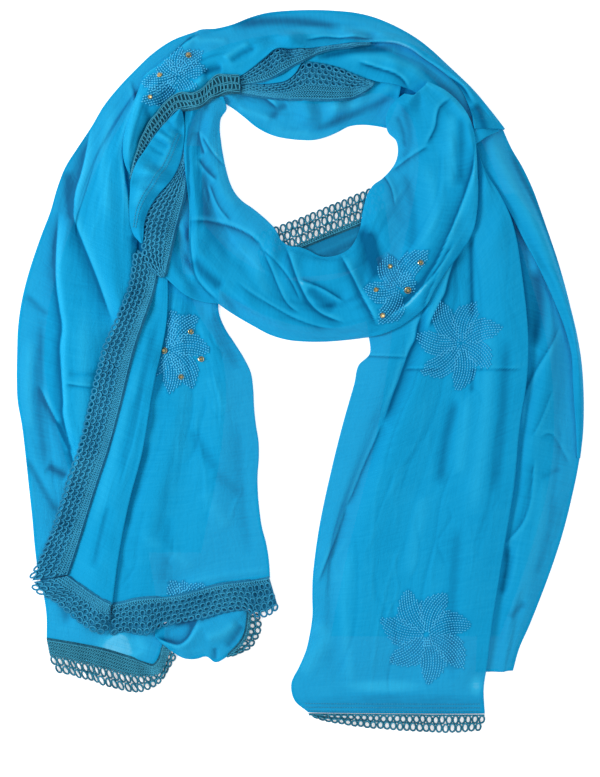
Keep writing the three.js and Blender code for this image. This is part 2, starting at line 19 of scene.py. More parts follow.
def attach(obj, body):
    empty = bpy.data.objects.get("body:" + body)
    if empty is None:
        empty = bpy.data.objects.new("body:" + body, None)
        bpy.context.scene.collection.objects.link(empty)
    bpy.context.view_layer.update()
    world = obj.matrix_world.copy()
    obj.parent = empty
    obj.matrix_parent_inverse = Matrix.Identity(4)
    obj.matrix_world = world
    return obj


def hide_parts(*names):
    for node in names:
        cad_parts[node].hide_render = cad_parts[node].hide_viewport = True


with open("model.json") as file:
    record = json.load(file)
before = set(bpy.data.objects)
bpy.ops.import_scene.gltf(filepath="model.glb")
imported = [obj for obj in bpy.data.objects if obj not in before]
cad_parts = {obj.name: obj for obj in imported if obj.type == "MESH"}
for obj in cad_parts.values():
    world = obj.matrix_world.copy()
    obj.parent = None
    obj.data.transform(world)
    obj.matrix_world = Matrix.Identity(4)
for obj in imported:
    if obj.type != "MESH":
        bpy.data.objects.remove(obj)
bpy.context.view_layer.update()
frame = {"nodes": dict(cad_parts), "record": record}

nodes = frame["nodes"]
print("packed walls:", len(nodes))

# %% [markdown]
# ## The laying board
# Lines on the cloth are written in millimetres on a laying board whose zero is the middle of
# the collar. The frame's own zero is the middle of the whole outline, so board lines are moved
# by one small step. A smooth line through a few points is enough for any fold or seam: the
# Catmull-Rom rule passes through each point, so a maker can read the points off the cloth.

# %% Smooth lines
MM = 0.001
BOARD_SHIFT = np.array([0.0, -7.5])
LINE_STEP = 3.0   # millimetres between the points of a smooth line


def finer(points, times):
    """Smoothly adds points between rows: times steps for each step that was there."""
    points = np.asarray(points, float)
    steps = len(points) - 1
    padded = np.concatenate([[2 * points[0] - points[1]], points, [2 * points[-1] - points[-2]]])
    where = np.arange(steps * times + 1) / times
    first = np.minimum(where.astype(int), steps - 1)
    share = (where - first).reshape([-1] + [1] * (points.ndim - 1))
    p0, p1, p2, p3 = (padded[first + k] for k in range(4))
    return p1 + 0.5 * share * (p2 - p0 + share * (
        2 * p0 - 5 * p1 + 4 * p2 - p3 + share * (3 * (p1 - p2) + p3 - p0)))


def smooth_line(line):
    """A smooth line through hand-placed board points, in frame millimetres."""
    points = np.array(line, float) + BOARD_SHIFT
    gap = np.linalg.norm(np.diff(points, axis=0), axis=1).mean()
    return finer(points, max(1, round(gap / LINE_STEP)))


print("points on a smooth line through three:", len(smooth_line([(0, 0), (30, 10), (60, 0)])))


# %% [markdown]
# ## Reading a wall back as rows and columns
# A sheet is easiest to shape as a grid: it can be made finer smoothly in two directions, and it
# gives the warp and weft directions for the weave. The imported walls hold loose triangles, so
# the first thing is to pick those that face up and to share their corner points.

# %% The upper face of a wall
def upper_triangles(mesh):
    """The triangles of a wall that face up, on points that are shared."""
    mesh.calc_loop_triangles()
    spots = np.array([v.co for v in mesh.vertices]) / MM
    _, first, same = np.unique(np.round(spots, 3), axis=0, return_index=True, return_inverse=True)
    corners = same.ravel()[np.array([t.vertices[:] for t in mesh.loop_triangles])]
    spots = spots[first]
    a, b, c = (spots[corners[:, k]] for k in range(3))
    normal = np.cross(b - a, c - a)
    up = normal[:, 2] > 0.02 * np.linalg.norm(normal, axis=1)
    return spots, corners[up]


print("triangles on top of the cowl:", len(upper_triangles(nodes["cowl"].data)[1]))

# %% [markdown]
# ## The place of every point
# An upper face is made of triangle pairs whose diagonals alternate, so in every triangle one
# corner has no diagonal. From one such triangle the rest follow. Across a diagonal, the next
# triangle completes a four-sided cell. Across any other edge, it mirrors this one about the
# corner that has no diagonal.

# %% Rows and columns of a wall
def placed(triangles, odd):
    """Grid places of all points if that corner of the first triangle has no diagonal."""
    beside = {}
    for index, three in enumerate(triangles):
        for k in range(3):
            beside.setdefault(frozenset((three[k], three[k - 1])), []).append(index)
    one, two = (triangles[0][(odd + k) % 3] for k in (1, 2))
    place = {triangles[0][odd]: (0, 0), one: (1, 0), two: (0, 1)}
    queue = [(0, triangles[0][odd])]
    seen = {0}
    for index, corner in queue:
        others = [p for p in triangles[index] if p != corner]
        for edge in (others, [corner, others[0]], [corner, others[1]]):
            for near in beside[frozenset(edge)]:
                if near in seen:
                    continue
                seen.add(near)
                new = next(p for p in triangles[near] if p not in edge)
                (ox, oy), spare = place[corner], [p for p in others if p not in edge]
                if spare:
                    x, y = place[spare[0]]
                    spot = (2 * ox - x, 2 * oy - y)
                    queue.append((near, corner))
                else:
                    (ax, ay), (bx, by) = place[others[0]], place[others[1]]
                    spot = (ax + bx - ox, ay + by - oy)
                    queue.append((near, new))
                if place.setdefault(new, spot) != spot:
                    return None
    return place if len(set(place.values())) == len(place) else None


def wall_grid(node):
    """The upper face of a wall as an array: rows along the strip, columns across it."""
    spots, triangles = upper_triangles(nodes[node].data)
    triangles = [tuple(int(p) for p in three) for three in triangles]
    place = next(filter(None, (placed(triangles, odd) for odd in range(3))))
    keys = np.array(list(place))
    at = np.array(list(place.values()))
    at -= at.min(axis=0)
    rows, columns = at.max(axis=0) + 1
    grid = np.full((rows, columns, 3), np.nan)
    grid[at[:, 0], at[:, 1]] = spots[keys]
    if rows < columns:
        grid = grid.swapaxes(0, 1)
    across, along = grid[0, 1] - grid[0, 0], grid[1, 0] - grid[0, 0]
    if across[0] * along[1] - across[1] * along[0] < 0:
        grid = grid[:, ::-1]
    return grid


grids = {name: wall_grid(name) for name in nodes}
print("grids read:", {name: grid.shape[:2] for name, grid in list(grids.items())[:3]})


# %% [markdown]
# ## Creases placed one by one
# Chiffon lies in three kinds of crease. A trough is a soft valley. A ridge is a soft crest. A
# turned edge is where a fold ends: the cloth drops steeply on one side and rises gently on the
# other. Each is a line with a size and a reach, and it only moves points up or down. Each crease
# also paints its shade into the colour: deeper blue in the bottom of a fold, as painted shade,
# and paler on its crests, as painted highlight.

# %% Three kinds of crease
FALL = 4.2        # millimetres over which a turned edge drops
# The next two constants set the painted shade of a crease: how big it must be to paint the whole of its
# kind, and the most it may paint.
FULL_SHADE = 1.8    # a crease of this many millimetres shows the whole depth of its kind
DEEPEST = 1.4     # and no fold shows more than this many times that


def trough(far, reach):
    """Rise and painted shade of a soft valley, by distance from its line; the other kinds say the same.
    """
    bell = np.exp(-(far / reach) ** 2)
    return -bell, 0.75 * bell ** 2.5


def ridge(far, reach):
    """A soft crest, painted a little paler than the flat cloth as a highlight."""
    bell = np.exp(-(far / reach) ** 2)
    return bell, -0.5 * bell ** 2


def edge(far, reach):
    """A turned edge: painted shadow close under the drop, painted highlight just behind the crest."""
    fade = np.exp(-(np.abs(far) / reach) ** 1.4)
    low = np.where(far < 0, np.exp(far / (0.35 * reach)), np.exp(-(far / 0.8) ** 2))
    high = np.where(far >= 0, np.exp(-((far - 2) / (0.3 * reach)) ** 2), 0)
    return 0.5 * np.tanh(2 * far / FALL) * fade, 1.15 * low - 0.5 * high


print("a trough 5 mm wide, every 2 mm out:", np.round(trough(np.arange(0, 12, 2), 5)[0], 2))

# %% [markdown]
# ## Pressing the creases in
# A vertex could be moved by a sculpt brush, but code can be run again and again. Every grid
# point near a crease line is measured against the nearest stretch of that line. The kind of
# crease then says how far to move it, and the crease fades out toward both ends of its line.

# %% Pressing a crease


def beside_line(spots, line):
    """How far spots lie from a line, left side positive, and how far along it, 0 to 1."""
    path = smooth_line(line)
    start, step = path[:-1], np.diff(path, axis=0)
    long = np.linalg.norm(step, axis=1)
    offset = spots[:, None] - start[None]
    share = np.clip((offset * step).sum(2) / long ** 2, 0, 1)
    away = offset - share[..., None] * step
    far = np.linalg.norm(away, axis=2)
    near = far.argmin(axis=1)
    pick = np.arange(len(spots))
    side = step[near, 0] * away[pick, near, 1] - step[near, 1] * away[pick, near, 0]
    reached = np.concatenate([[0], np.cumsum(long)])
    along = (reached[near] + share[pick, near] * long[near]) / reached[-1]
    return far[pick, near] * np.sign(side), along


def press(grid, creases):
    """Moves a sheet's points up and down for its creases, and returns the painted shade at each point,
    below zero where a highlight is painted.
    """
    spots = grid[..., :2].reshape(-1, 2)
    height = np.zeros(len(spots))
    shade_and_layers = np.zeros(len(spots))
    for kind, size, reach, line in creases:
        path = np.array(line, float) + BOARD_SHIFT
        close = np.all((spots > path.min(0) - 3 * reach) & (spots < path.max(0) + 3 * reach), axis=1)
        if not close.any():
            continue
        far, along = beside_line(spots[close], line)
        if size < 0:
            far = -far
        rise, dark = kind(far, reach)
        ends = np.clip(2.4 * np.sin(math.pi * along), 0, 1) ** 0.8
        height[close] += abs(size) * rise * ends
        shade_and_layers[close] += min(abs(size) / FULL_SHADE, DEEPEST) * dark * ends
    grid[..., 2] += height.reshape(grid.shape[:2])
    return shade_and_layers.reshape(grid.shape[:2])


print("a turned edge drops over, mm:", FALL)


# %% [markdown]
# ## The crease chart
# These are the main folds of each stretch: a kind, a size and a reach in millimetres, and a
# line. A positive turned edge is high on the left of its line as it is followed, and a negative
# one is high on the right.

# %% Main creases of each stretch
CREASES = {
    "neck_back_panel": [
        (trough, 2.4, 7, [(-34, 106), (-20, 110), (0, 114)]),
        (ridge, 0.8, 2.5, [(-10, 114), (20, 122), (52, 136), (78, 148)]),
        (trough, 0.9, 2.5, [(0, 110), (24, 117), (50, 129), (80, 142)]),
        (ridge, 0.7, 2.2, [(10, 108), (34, 114), (60, 126)]),
        (trough, 1.6, 5, [(58, 146), (72, 148), (84, 150)]),
    ],
    "outer_left_fall": [
        (edge, 2.4, 10, [(-250, -6), (-236, -34), (-222, -62), (-212, -92)]),
        (edge, 1.6, 5, [(-223, -5), (-208, -7), (-196, -8)]),
        (edge, 3.6, 15, [(-200, 240), (-208, 200), (-214, 180), (-216, 165), (-214, 148), (-195, 100),
                         (-186, 75), (-178, 52)]),
        (trough, 1.8, 8, [(-222, 200), (-221, 180), (-216, 152)]),
        (edge, 3.4, 13, [(-231, 160), (-233, 120), (-233, 95), (-230, 70), (-227, 50), (-229, 30),
                         (-228, 10), (-226, -20), (-226, -35), (-220, -60), (-213, -75)]),
        (trough, 1.4, 5, [(-262, 80), (-250, 69), (-240, 60)]),
        (trough, 1.7, 5, [(-262, -75), (-250, -97), (-240, -115), (-230, -130)]),
        (trough, 1.1, 4, [(-220, 5), (-206, 4), (-192, 5)]),
        (trough, 2.7, 6, [(-241, -83), (-232, -88), (-222, -93)]),
        (edge, -2.5, 8, [(-232, -40), (-225, -56), (-218, -70)]),
        (edge, -3.6, 9, [(-162, 285), (-157, 270), (-156, 262), (-160, 250), (-164, 238), (-167, 220),
                         (-167, 205), (-165, 190), (-162, 170), (-160, 150)]),
        (ridge, 1.6, 7, [(-176, 262), (-182, 240), (-186, 215), (-184, 180), (-182, 150)]),
        (trough, 2.9, 5, [(-157, 138), (-154, 120), (-149, 104)]),
        (ridge, 1.4, 9, [(-205, 70), (-206, 20), (-207, -30), (-202, -80), (-200, -140)]),
        (trough, 1.4, 8, [(-190, 20), (-192, -40), (-196, -100)]),
        (trough, 1.6, 7, [(-246, 60), (-249, 10), (-248, -40), (-242, -90)]),
        (ridge, 1.4, 7, [(-256, 40), (-259, -5), (-256, -50)]),
        (trough, 1.6, 7, [(-226, -165), (-222, -200), (-224, -236)]),
        (ridge, 1.1, 8, [(-190, -205), (-176, -232), (-172, -254)]),
        (trough, 1.4, 7, [(-158, -232), (-160, -248), (-155, -262)]),
    ],
    "outer_right_fall": [
        (trough, 2.2, 8, [(200, 158), (206, 125), (210, 100), (214, 70), (216, 40)]),
        (trough, 2.6, 10, [(224, 106), (228, 80), (227, 55), (222, 30)]),
        (edge, 1.4, 9, [(248, 52), (240, 35), (225, 10), (214, -15), (208, -45)]),
        (edge, 1.0, 7, [(240, -10), (230, -35), (220, -55)]),
        (edge, 1.0, 8, [(228, -55), (240, -53), (252, -72), (257, -82)]),
        (trough, 0.8, 4, [(230, -95), (240, -89), (250, -85)]),
        (edge, 1.4, 8, [(222, -75), (219, -110), (212, -135), (195, -157)]),
        (trough, 2.0, 5, [(197, -158), (197, -180), (191, -206)]),
        (trough, 1.2, 5, [(200, -228), (208, -219), (215, -212)]),
        (ridge, 0.9, 9, [(232, -90), (230, -130), (222, -170), (206, -220)]),
        (trough, 0.9, 7, [(243, -110), (236, -150), (224, -190)]),
    ],
    "outer_right_band": [
        (ridge, 2.0, 8, [(184, 236), (190, 210), (205, 180), (228, 142), (246, 100)]),
        (trough, 1.7, 5, [(199, 222), (208, 200), (222, 172), (238, 136), (250, 98)]),
        (edge, -2.0, 6, [(166, 237), (176, 237), (187, 237)]),
    ],
    "twisted_flap": [
        (edge, -4.5, 7, [(-136, -246), (-125, -250), (-115, -252), (-107, -246), (-101, -235),
                         (-96, -228)]),
        (trough, 3.6, 6, [(-120, -233), (-108, -232), (-99, -234)]),
        (trough, 2.2, 3, [(-81, -256), (-81, -262), (-82, -268)]),
        (ridge, 2.0, 6, [(-90, -246), (-74, -242), (-60, -232)]),
        (trough, 1.7, 5, [(-70, -256), (-62, -246), (-55, -234)]),
    ],
    "left_tail_front": [
        (ridge, 0.8, 10, [(-88, 4), (-80, -14), (-70, -32)]),
        (ridge, 0.8, 9, [(-92, -106), (-81, -124), (-68, -142)]),
        (trough, 1.0, 9, [(-82, 64), (-72, 40), (-60, 8)]),
        (trough, 1.0, 9, [(-102, -48), (-92, -68), (-78, -88)]),
        (trough, 0.8, 9, [(-82, -88), (-68, -100), (-54, -112)]),
        (trough, 1.3, 7, [(-146, -58), (-152, -85), (-160, -112), (-167, -142)]),
        (ridge, 0.8, 7, [(-152, -148), (-128, -162), (-100, -181)]),
        (ridge, 0.7, 4, [(-112, -196), (-88, -190), (-60, -185), (-30, -181)]),
        (trough, 0.6, 7, [(-98, 92), (-104, 74), (-106, 40)]),
        (ridge, 0.6, 10, [(-100, 34), (-106, 0), (-112, -40), (-118, -80)]),
        (trough, 0.7, 8, [(-60, -40), (-58, -80), (-54, -130), (-48, -172)]),
        (trough, 0.7, 8, [(-124, -130), (-128, -160), (-130, -196)]),
    ],
    "left_tail_edge_strip": [
        (trough, 1.0, 5, [(-134, 60), (-146, 10), (-158, -40), (-171, -92)]),
        (ridge, 1.0, 6, [(-150, 20), (-166, -34), (-182, -90), (-194, -140)]),
        (trough, 1.2, 5, [(-182, -120), (-190, -150), (-196, -180)]),
    ],
    "right_tail_front": [
        (edge, -3.8, 12, [(117, 66), (112, 50), (110, 38), (105, 28), (101, 18), (94, -2),
                          (88, -18), (83, -32), (79, -42)]),
        (edge, -1.8, 7, [(78, -42), (72, -58), (60, -85), (50, -110), (44, -122)]),
        (edge, -1.5, 6, [(44, -122), (35, -150), (25, -175), (18, -194)]),
        (edge, -2.9, 10, [(155, 122), (147, 112), (142, 98), (138, 82), (134, 74), (126, 58),
                          (122, 48)]),
        (trough, 3.6, 4, [(162, 138), (163, 100), (164, 58)]),
        (trough, 1.6, 5, [(168, 225), (168, 180), (165, 138)]),
        (edge, 1.6, 3, [(59, 22), (80, 21), (103, 20)]),
        (edge, 1.4, 3, [(100, 9), (118, 9), (136, 9)]),
        (edge, 1.4, 3, [(160, 9), (186, 9), (210, 9)]),
        (trough, 1.4, 3, [(165, 10), (164, 0), (163, -13)]),
        (trough, 1.7, 8, [(148, -18), (138, -60), (133, -102)]),
        (ridge, 1.4, 8, [(158, -14), (155, -52), (151, -92)]),
        (ridge, 1.4, 10, [(12, -234), (24, -244), (14, -262), (2, -282)]),
        (ridge, 1.4, 10, [(176, 60), (178, 20), (176, -30), (170, -80), (164, -130)]),
        (trough, 1.4, 8, [(196, 40), (194, 0), (190, -60), (184, -110)]),
        (ridge, 1.1, 9, [(118, -110), (110, -150), (106, -190)]),
        (trough, 1.1, 8, [(150, -140), (146, -190), (144, -240), (146, -290)]),
        (ridge, 1.1, 7, [(48, -160), (42, -200), (44, -250), (50, -296)]),
    ],
    "back_neck_inner_band": [
        (edge, 3.1, 7, [(-60, 272), (-45, 270), (-35, 268), (-22, 258)]),
        (ridge, 1.8, 4, [(-60, 260), (-44, 253), (-27, 247)]),
        (trough, 2.0, 7, [(8, 236), (26, 241), (42, 248), (60, 257), (92, 272)]),
        (ridge, 2.0, 6, [(22, 257), (48, 259), (68, 264), (92, 279)]),
        (trough, 2.0, 6, [(-26, 248), (-22, 256), (-12, 262)]),
        (ridge, 1.4, 8, [(-30, 238), (-6, 234), (18, 234), (40, 240)]),
    ],
    "nape_shoulder_band": [
        (trough, 3.4, 6, [(16, 306), (34, 309), (62, 313), (90, 313)]),
        (edge, 2.8, 6, [(55, 300), (80, 292), (95, 285), (103, 275)]),
        (ridge, 1.7, 6, [(40, 306), (74, 304), (104, 296), (130, 280)]),
        (trough, 1.8, 6, [(112, 296), (134, 280), (150, 264), (162, 242)]),
    ],
    "cowl_under_fold": [
        (trough, 1.8, 4, [(-104, 205), (-104, 170), (-106, 140), (-106, 110)]),
        (ridge, 1.4, 4, [(-98, 190), (-97, 150), (-97, 115)]),
    ],
    "cowl": [
        (edge, 2.0, 5, [(-94, 232), (-84, 216), (-72, 202)]),
        (edge, -1.8, 5, [(-86, 186), (-78, 166), (-66, 150)]),
        (edge, 1.6, 5, [(-40, 126), (-24, 112), (-10, 94), (0, 74)]),
        (edge, 1.8, 5, [(78, 196), (86, 182), (90, 164)]),
        (trough, 1.4, 3, [(92, 250), (98, 236), (100, 220)]),
        (edge, 2.2, 9, [(-105, 150), (-85, 150), (-65, 145), (-50, 138), (-40, 130), (-35, 123)]),
        (trough, 2.2, 8, [(-102, 114), (-90, 100), (-73, 86)]),
        (edge, 1.6, 6, [(-104, 142), (-104, 125), (-100, 100), (-91, 86), (-77, 73)]),
        (edge, 1.5, 6, [(-60, 92), (-45, 80), (-25, 68), (-5, 57), (15, 50), (32, 47)]),
        (edge, 1.8, 7, [(-35, 120), (-28, 105), (-22, 90), (-15, 75), (-8, 67), (0, 62)]),
        (edge, 2.4, 9, [(-15, 128), (-10, 115), (-5, 100), (0, 88), (8, 73), (18, 63), (30, 57),
                        (42, 53)]),
        (edge, -2.0, 7, [(-2, 95), (20, 87), (42, 74)]),
        (trough, 1.8, 9, [(8, 86), (20, 76), (34, 66)]),
        (trough, 5.0, 13, [(58, 146), (64, 124), (70, 106), (76, 94)]),
        (trough, 2.2, 9, [(66, 140), (72, 120), (78, 104)]),
        (edge, 3.2, 10, [(38, 118), (45, 105), (52, 92), (60, 75), (68, 60), (73, 49)]),
        (edge, 3.0, 9, [(165, 225), (163, 200), (158, 182), (152, 165), (146, 150), (140, 136),
                        (133, 120), (127, 108), (120, 97), (110, 83), (100, 72), (90, 64), (80, 57)]),
        (edge, 2.4, 7, [(146, 131), (135, 112), (125, 98), (110, 82), (97, 70), (84, 61)]),
        (edge, 1.8, 6, [(160, 128), (152, 117), (145, 107), (140, 95)]),
        (edge, 1.6, 6, [(132, 104), (120, 78), (117, 66)]),
        (ridge, 1.8, 6, [(98, 264), (120, 279), (145, 266), (163, 240)]),
        (edge, -2.0, 7, [(143, 266), (133, 258), (130, 250), (128, 238), (120, 222)]),
        (ridge, 1.6, 7, [(143, 252), (143, 215), (143, 180)]),
        (trough, 1.4, 6, [(152, 250), (153, 215), (151, 182)]),
        (edge, 1.6, 7, [(88, 198), (104, 210), (122, 221)]),
        (edge, 2.4, 7, [(-97, 237), (-95, 226), (-91, 214)]),
        (edge, -2.0, 7, [(-97, 210), (-90, 200), (-79, 189)]),
        (trough, 1.6, 9, [(-90, 204), (-90, 178), (-88, 150)]),
        (ridge, 1.3, 6, [(-80, 232), (-78, 205), (-70, 180), (-58, 164)]),
        (trough, 1.2, 7, [(100, 196), (106, 170), (108, 145), (104, 122)]),
        (ridge, 1.2, 8, [(118, 205), (126, 175), (124, 145), (112, 118)]),
        (ridge, 1.2, 7, [(-60, 128), (-44, 112), (-36, 92), (-30, 78)]),
        (trough, 1.2, 6, [(96, 262), (102, 245), (104, 226), (98, 206)]),
    ],
    "collar_outer_band": [
        (edge, -3.0, 7, [(-156, 284), (-140, 298), (-122, 310), (-108, 322), (-96, 329)]),
        (ridge, 1.7, 4, [(-100, 322), (-84, 323), (-68, 321)]),
        (trough, 2.6, 8, [(-66, 337), (-40, 341), (-20, 342), (10, 340), (42, 334)]),
        (edge, 2.2, 5, [(5, 322), (25, 325), (45, 323), (70, 324)]),
        (ridge, 2.4, 4, [(-72, 303), (-62, 311), (-48, 319)]),
        (trough, 1.7, 4, [(-66, 301), (-55, 309), (-42, 315)]),
        (trough, 3.7, 5, [(-92, 290), (-83, 294), (-74, 296)]),
        (trough, 5.4, 7, [(-130, 258), (-127, 267), (-120, 277)]),
        (ridge, 3.2, 4, [(-119, 269), (-104, 275), (-90, 286)]),
        (edge, 4.6, 7, [(56, 318), (78, 318), (92, 318), (104, 312), (120, 302), (140, 288),
                        (155, 277), (165, 260)]),
        (trough, 4.1, 8, [(166, 262), (171, 248), (176, 232)]),
        (ridge, 1.3, 9, [(-30, 328), (0, 331), (40, 333), (80, 328), (120, 308)]),
        (trough, 1.7, 5, [(-148, 262), (-143, 244), (-150, 222)]),
        (ridge, 1.7, 6, [(-152, 272), (-158, 246), (-162, 222), (-160, 204)]),
    ],
    "left_shoulder_leaf": [
        (trough, 1.3, 2.2, [(-133, 238), (-126, 231), (-118, 226)]),
        (trough, 1.3, 2.2, [(-139, 229), (-131, 223), (-124, 219)]),
        (trough, 1.3, 2.4, [(-127, 246), (-121, 239), (-114, 234)]),
        (trough, 1.1, 2.2, [(-144, 222), (-136, 216), (-128, 212)]),
        (ridge, 1.4, 3.0, [(-136, 234), (-128, 228), (-120, 223)]),
        (ridge, 1.7, 6, [(-140, 206), (-148, 186), (-156, 162)]),
        (ridge, 1.7, 6, [(-118, 244), (-124, 216), (-136, 192), (-148, 172)]),
    ],
}
print("creases placed by hand:", sum(len(lines) for lines in CREASES.values()))

# %% [markdown]
# ## Small creases between the main ones
# Worn chiffon has many faint lines that run roughly the way the cloth hangs. They are too many
# to place one by one, so a seeded chooser picks where each begins and how it wanders, and the
# same press makes them. A fixed seed gives the same cloth on every run.

# %% Small creases
SMALL = {"outer_left_fall": 34, "outer_right_fall": 18, "outer_right_band": 8, "left_tail_front": 20,
         "left_tail_edge_strip": 6, "right_tail_front": 34, "back_neck_inner_band": 8,
         "nape_shoulder_band": 8, "cowl": 26, "collar_outer_band": 14, "twisted_flap": 4,
         "left_shoulder_leaf": 4, "neck_back_panel": 8, "cowl_under_fold": 3}


def small_creases(name, grid):
    """Faint creases along a strip, each a few centimetres long."""
    dice = np.random.default_rng(sum(map(ord, name)))
    rows, columns = grid.shape[:2]
    spots = grid[..., :2] - BOARD_SHIFT
    chosen = []
    for _ in range(SMALL.get(name, 0)):
        span = dice.integers(max(2, rows // 9), max(4, rows // 3))
        start = dice.integers(0, max(1, rows - span))
        lane = dice.uniform(0.06, 0.94) + np.cumsum(dice.normal(0, 0.025, 5))
        picked = np.linspace(start, start + span - 1, 5).astype(int)
        line = [spots[row, int(np.clip(at, 0.02, 0.98) * (columns - 1))]
                for row, at in zip(picked, lane)]
        kind = (trough, ridge, trough)[dice.integers(3)]
        chosen.append((kind, dice.uniform(0.15, 0.55), dice.uniform(1.2, 3.2), line))
    return chosen


print("faint creases to choose:", sum(SMALL.values()))


# %% [markdown]
# ## The pile
# Cloth can't pass through cloth. The board is divided into small cells, and each cell keeps the
# height of what already lies there and which piece it is. A new sheet is first creased, then
# raised wherever it would touch the pile, and its raised places are softened so that they look
# draped and not stepped.

# %% Heights of the pile
CELL = 2.0                         # millimetres along the side of a cell
LOW = np.array([-300.0, -380.0])   # the board's corner
SHAPE = (375, 300)                 # rows and columns of cells
GAP = 1.15                         # millimetres kept between a sheet and what is under it
pile = np.zeros(SHAPE)
owner = np.full(SHAPE, -1)         # the last piece laid on each cell, by its place in the order


def cell_of(spots):
    """Row and column of the cell that each spot is in."""
    at = np.round((spots[..., :2] - LOW) / CELL).astype(int)
    return np.clip(at[..., 1], 1, SHAPE[0] - 2), np.clip(at[..., 0], 1, SHAPE[1] - 2)


def around(values, pick):
    """The highest or the mean of each value and its eight neighbours."""
    padded = np.pad(values, 1, mode="edge")
    rows, columns = values.shape
    return pick([padded[r:r + rows, c:c + columns] for r in range(3) for c in range(3)], axis=0)


def between_cells(values, grid):
    """Values of the board under a grid's points, blended between the four nearest cells."""
    at = np.clip((grid[..., :2] - LOW) / CELL, 0, np.array(SHAPE[::-1]) - 1.001)
    column, row = at[..., 0].astype(int), at[..., 1].astype(int)
    right, up = at[..., 0] - column, at[..., 1] - row
    low = values[row, column] * (1 - right) + values[row, column + 1] * right
    high = values[row + 1, column] * (1 - right) + values[row + 1, column + 1] * right
    return low * (1 - up) + high * up


def rest_on_pile(grid):
    """Raises a sheet clear of the pile, softly, and at least 1 mm off the board."""
    below = between_cells(around(around(pile, np.max), np.mean), grid)
    lift = np.where(below > 0, np.maximum(below + GAP - grid[..., 2], 0), 0)
    for _ in range(4):
        lift = np.maximum(lift, around(lift, np.mean))
    grid[..., 2] = np.maximum(grid[..., 2], 1.0) + lift


def add_to_pile(grid, number):
    """Writes a sheet's heights and its number into the cells that it covers."""
    dense = finer(finer(grid, 2).swapaxes(0, 1), 2)
    row, column = cell_of(dense)
    np.maximum.at(pile, (row.ravel(), column.ravel()), dense[..., 2].ravel())
    owner[row, column] = number


print("board, mm:", SHAPE[1] * CELL, "by", SHAPE[0] * CELL)


# %% [markdown]
# ## Planning the flowers
# Each flower is a pinwheel of pointed leaves in chain stitch, with thread of the cloth's own
# colour: seven leaves, or fewer where a fold hides the rest. A leaf is filled with curved rows
# that run side by side and stop at its outline. The plan is made flat, before the cloth is laid,
# because the cloth under the stitching is also painted darker, as painted shade between the
# rows. Two of the flowers show their wrong side, which is flatter and fainter.

# %% Flower plan
STITCH = 2.5     # millimetres from stitch to stitch
ROW = 2.4        # between rows

# host sheet, middle, leaf width, right side showing, leaf tips
FLOWERS = {
    "shoulder": ("collar_outer_band", (-116, 287), 20, True,
                 [(-92, 312), (-114, 318), (-88, 294), (-151, 262), (-153, 284), (-134, 305),
                  (-106, 262)]),
    "left_tail": ("left_tail_front", (-126, 28), 24, True,
                  [(-119, 66), (-97, 60), (-85, 27), (-102, -9), (-124, -14), (-154, 8), (-152, 46)]),
    "cowl": ("cowl", (94, 86), 23, True,
             [(122, 122), (84, 120), (60, 86), (74, 52), (110, 92)]),
    "right_upper": ("right_tail_front", (153, 34), 24, False,
                    [(133, 75), (168, 74), (192, 49), (180, 10), (149, -12), (114, 5), (110, 42)]),
    "right_lower": ("right_tail_front", (120, -243), 25, False,
                    [(101, -200), (139, -203), (163, -233), (156, -276), (122, -292), (85, -270),
                     (76, -228)]),
    "left_hem": ("left_tail_front", (-106, -214), 18, True, [(-124, -191), (-112, -192), (-91, -195)]),
}


def leaf_rows(middle, tip, wide):
    """Flat rows of one leaf, widest just past its half and bent to one side, as lines of points."""
    start, end = (np.array(p, float) + BOARD_SHIFT for p in (middle, tip))
    axis = end - start
    long = np.linalg.norm(axis)
    side = np.array([-axis[1], axis[0]]) / long
    part = np.linspace(0.04, 1, 60)
    half = 0.5 * wide * np.sin(math.pi * part ** 1.15) ** 0.75
    bend = 0.13 * long * np.sin(math.pi * part)
    for level in np.arange(-wide // (2 * ROW), wide // (2 * ROW) + 1):
        inside = half >= abs(level) * ROW
        if inside.sum() > 4:
            across = level * ROW + bend[inside]
            yield start + part[inside, None] * axis + across[:, None] * side


def stitches_along(line, offset):
    """Start and end of each stitch on a row."""
    steps = np.linalg.norm(np.diff(line, axis=0), axis=1)
    reached = np.concatenate([[0], np.cumsum(steps)])
    heads = np.arange(offset, reached[-1] - 0.5 * STITCH, STITCH)
    ends = [np.stack([np.interp(at, reached, line[:, k]) for k in (0, 1)], axis=1)
            for at in (heads, heads + 0.8 * STITCH)]
    return np.stack(ends, axis=1)


STITCHES = {name: np.concatenate([
    stitches_along(line, 0.5 * STITCH * (index % 2)) for tip in tips
    for index, line in enumerate(leaf_rows(middle, tip, wide))])
    for name, (_, middle, wide, _, tips) in FLOWERS.items()}

print("stitches in the flowers:", {name: len(ends) for name, ends in STITCHES.items()})

# %% [markdown]
# ## Seams, and where the cloth is single
# The same stitch also closes the seam of the shoulder leaf, sews the hem of the right tail and
# knots the middle of its lower flower. The hem is double, so it looks deeper. Above it, and at
# the tip of the left fall, one layer lies alone over the light table and looks paler. All of
# this, and the painted shade under the flowers, is added to the painted shade and highlight
# that the creases gave, before the colour is worked out.

# %% Seam plan and depth of stitching
# the sheet that shows the seam, whether in cotton, and each row's line
SEAMS = {
    "leaf_seam": ("left_shoulder_leaf", True, [
        [(-113, 232.5), (-126, 202.5), (-140, 181.5), (-151, 162.5), (-156, 142.5)],
        [(-116, 233.5), (-129, 204.5), (-143, 183.5), (-154, 163.5), (-158, 143.5)]]),
    "hem_seam": ("right_tail_front", True, [
        [(4, y), (60, y - 0.3), (110, y - 0.5), (172, y - 0.6)]
        for y in (-323.5, -320, -316.5, -313, -309.5)]),
    "centre_knot": ("right_tail_front", False, [
        [(x, -255), (x + 0.6, -250.5), (x, -246)] for x in (117.5, 119.3, 121.1, 122.9)]),
}
ROWS = {name: np.concatenate([stitches_along(smooth_line(line), 0.5) for line in lines])
        for name, (_, _, lines) in SEAMS.items()}
print("stitches in the seams:", {name: len(ends) for name, ends in ROWS.items()})

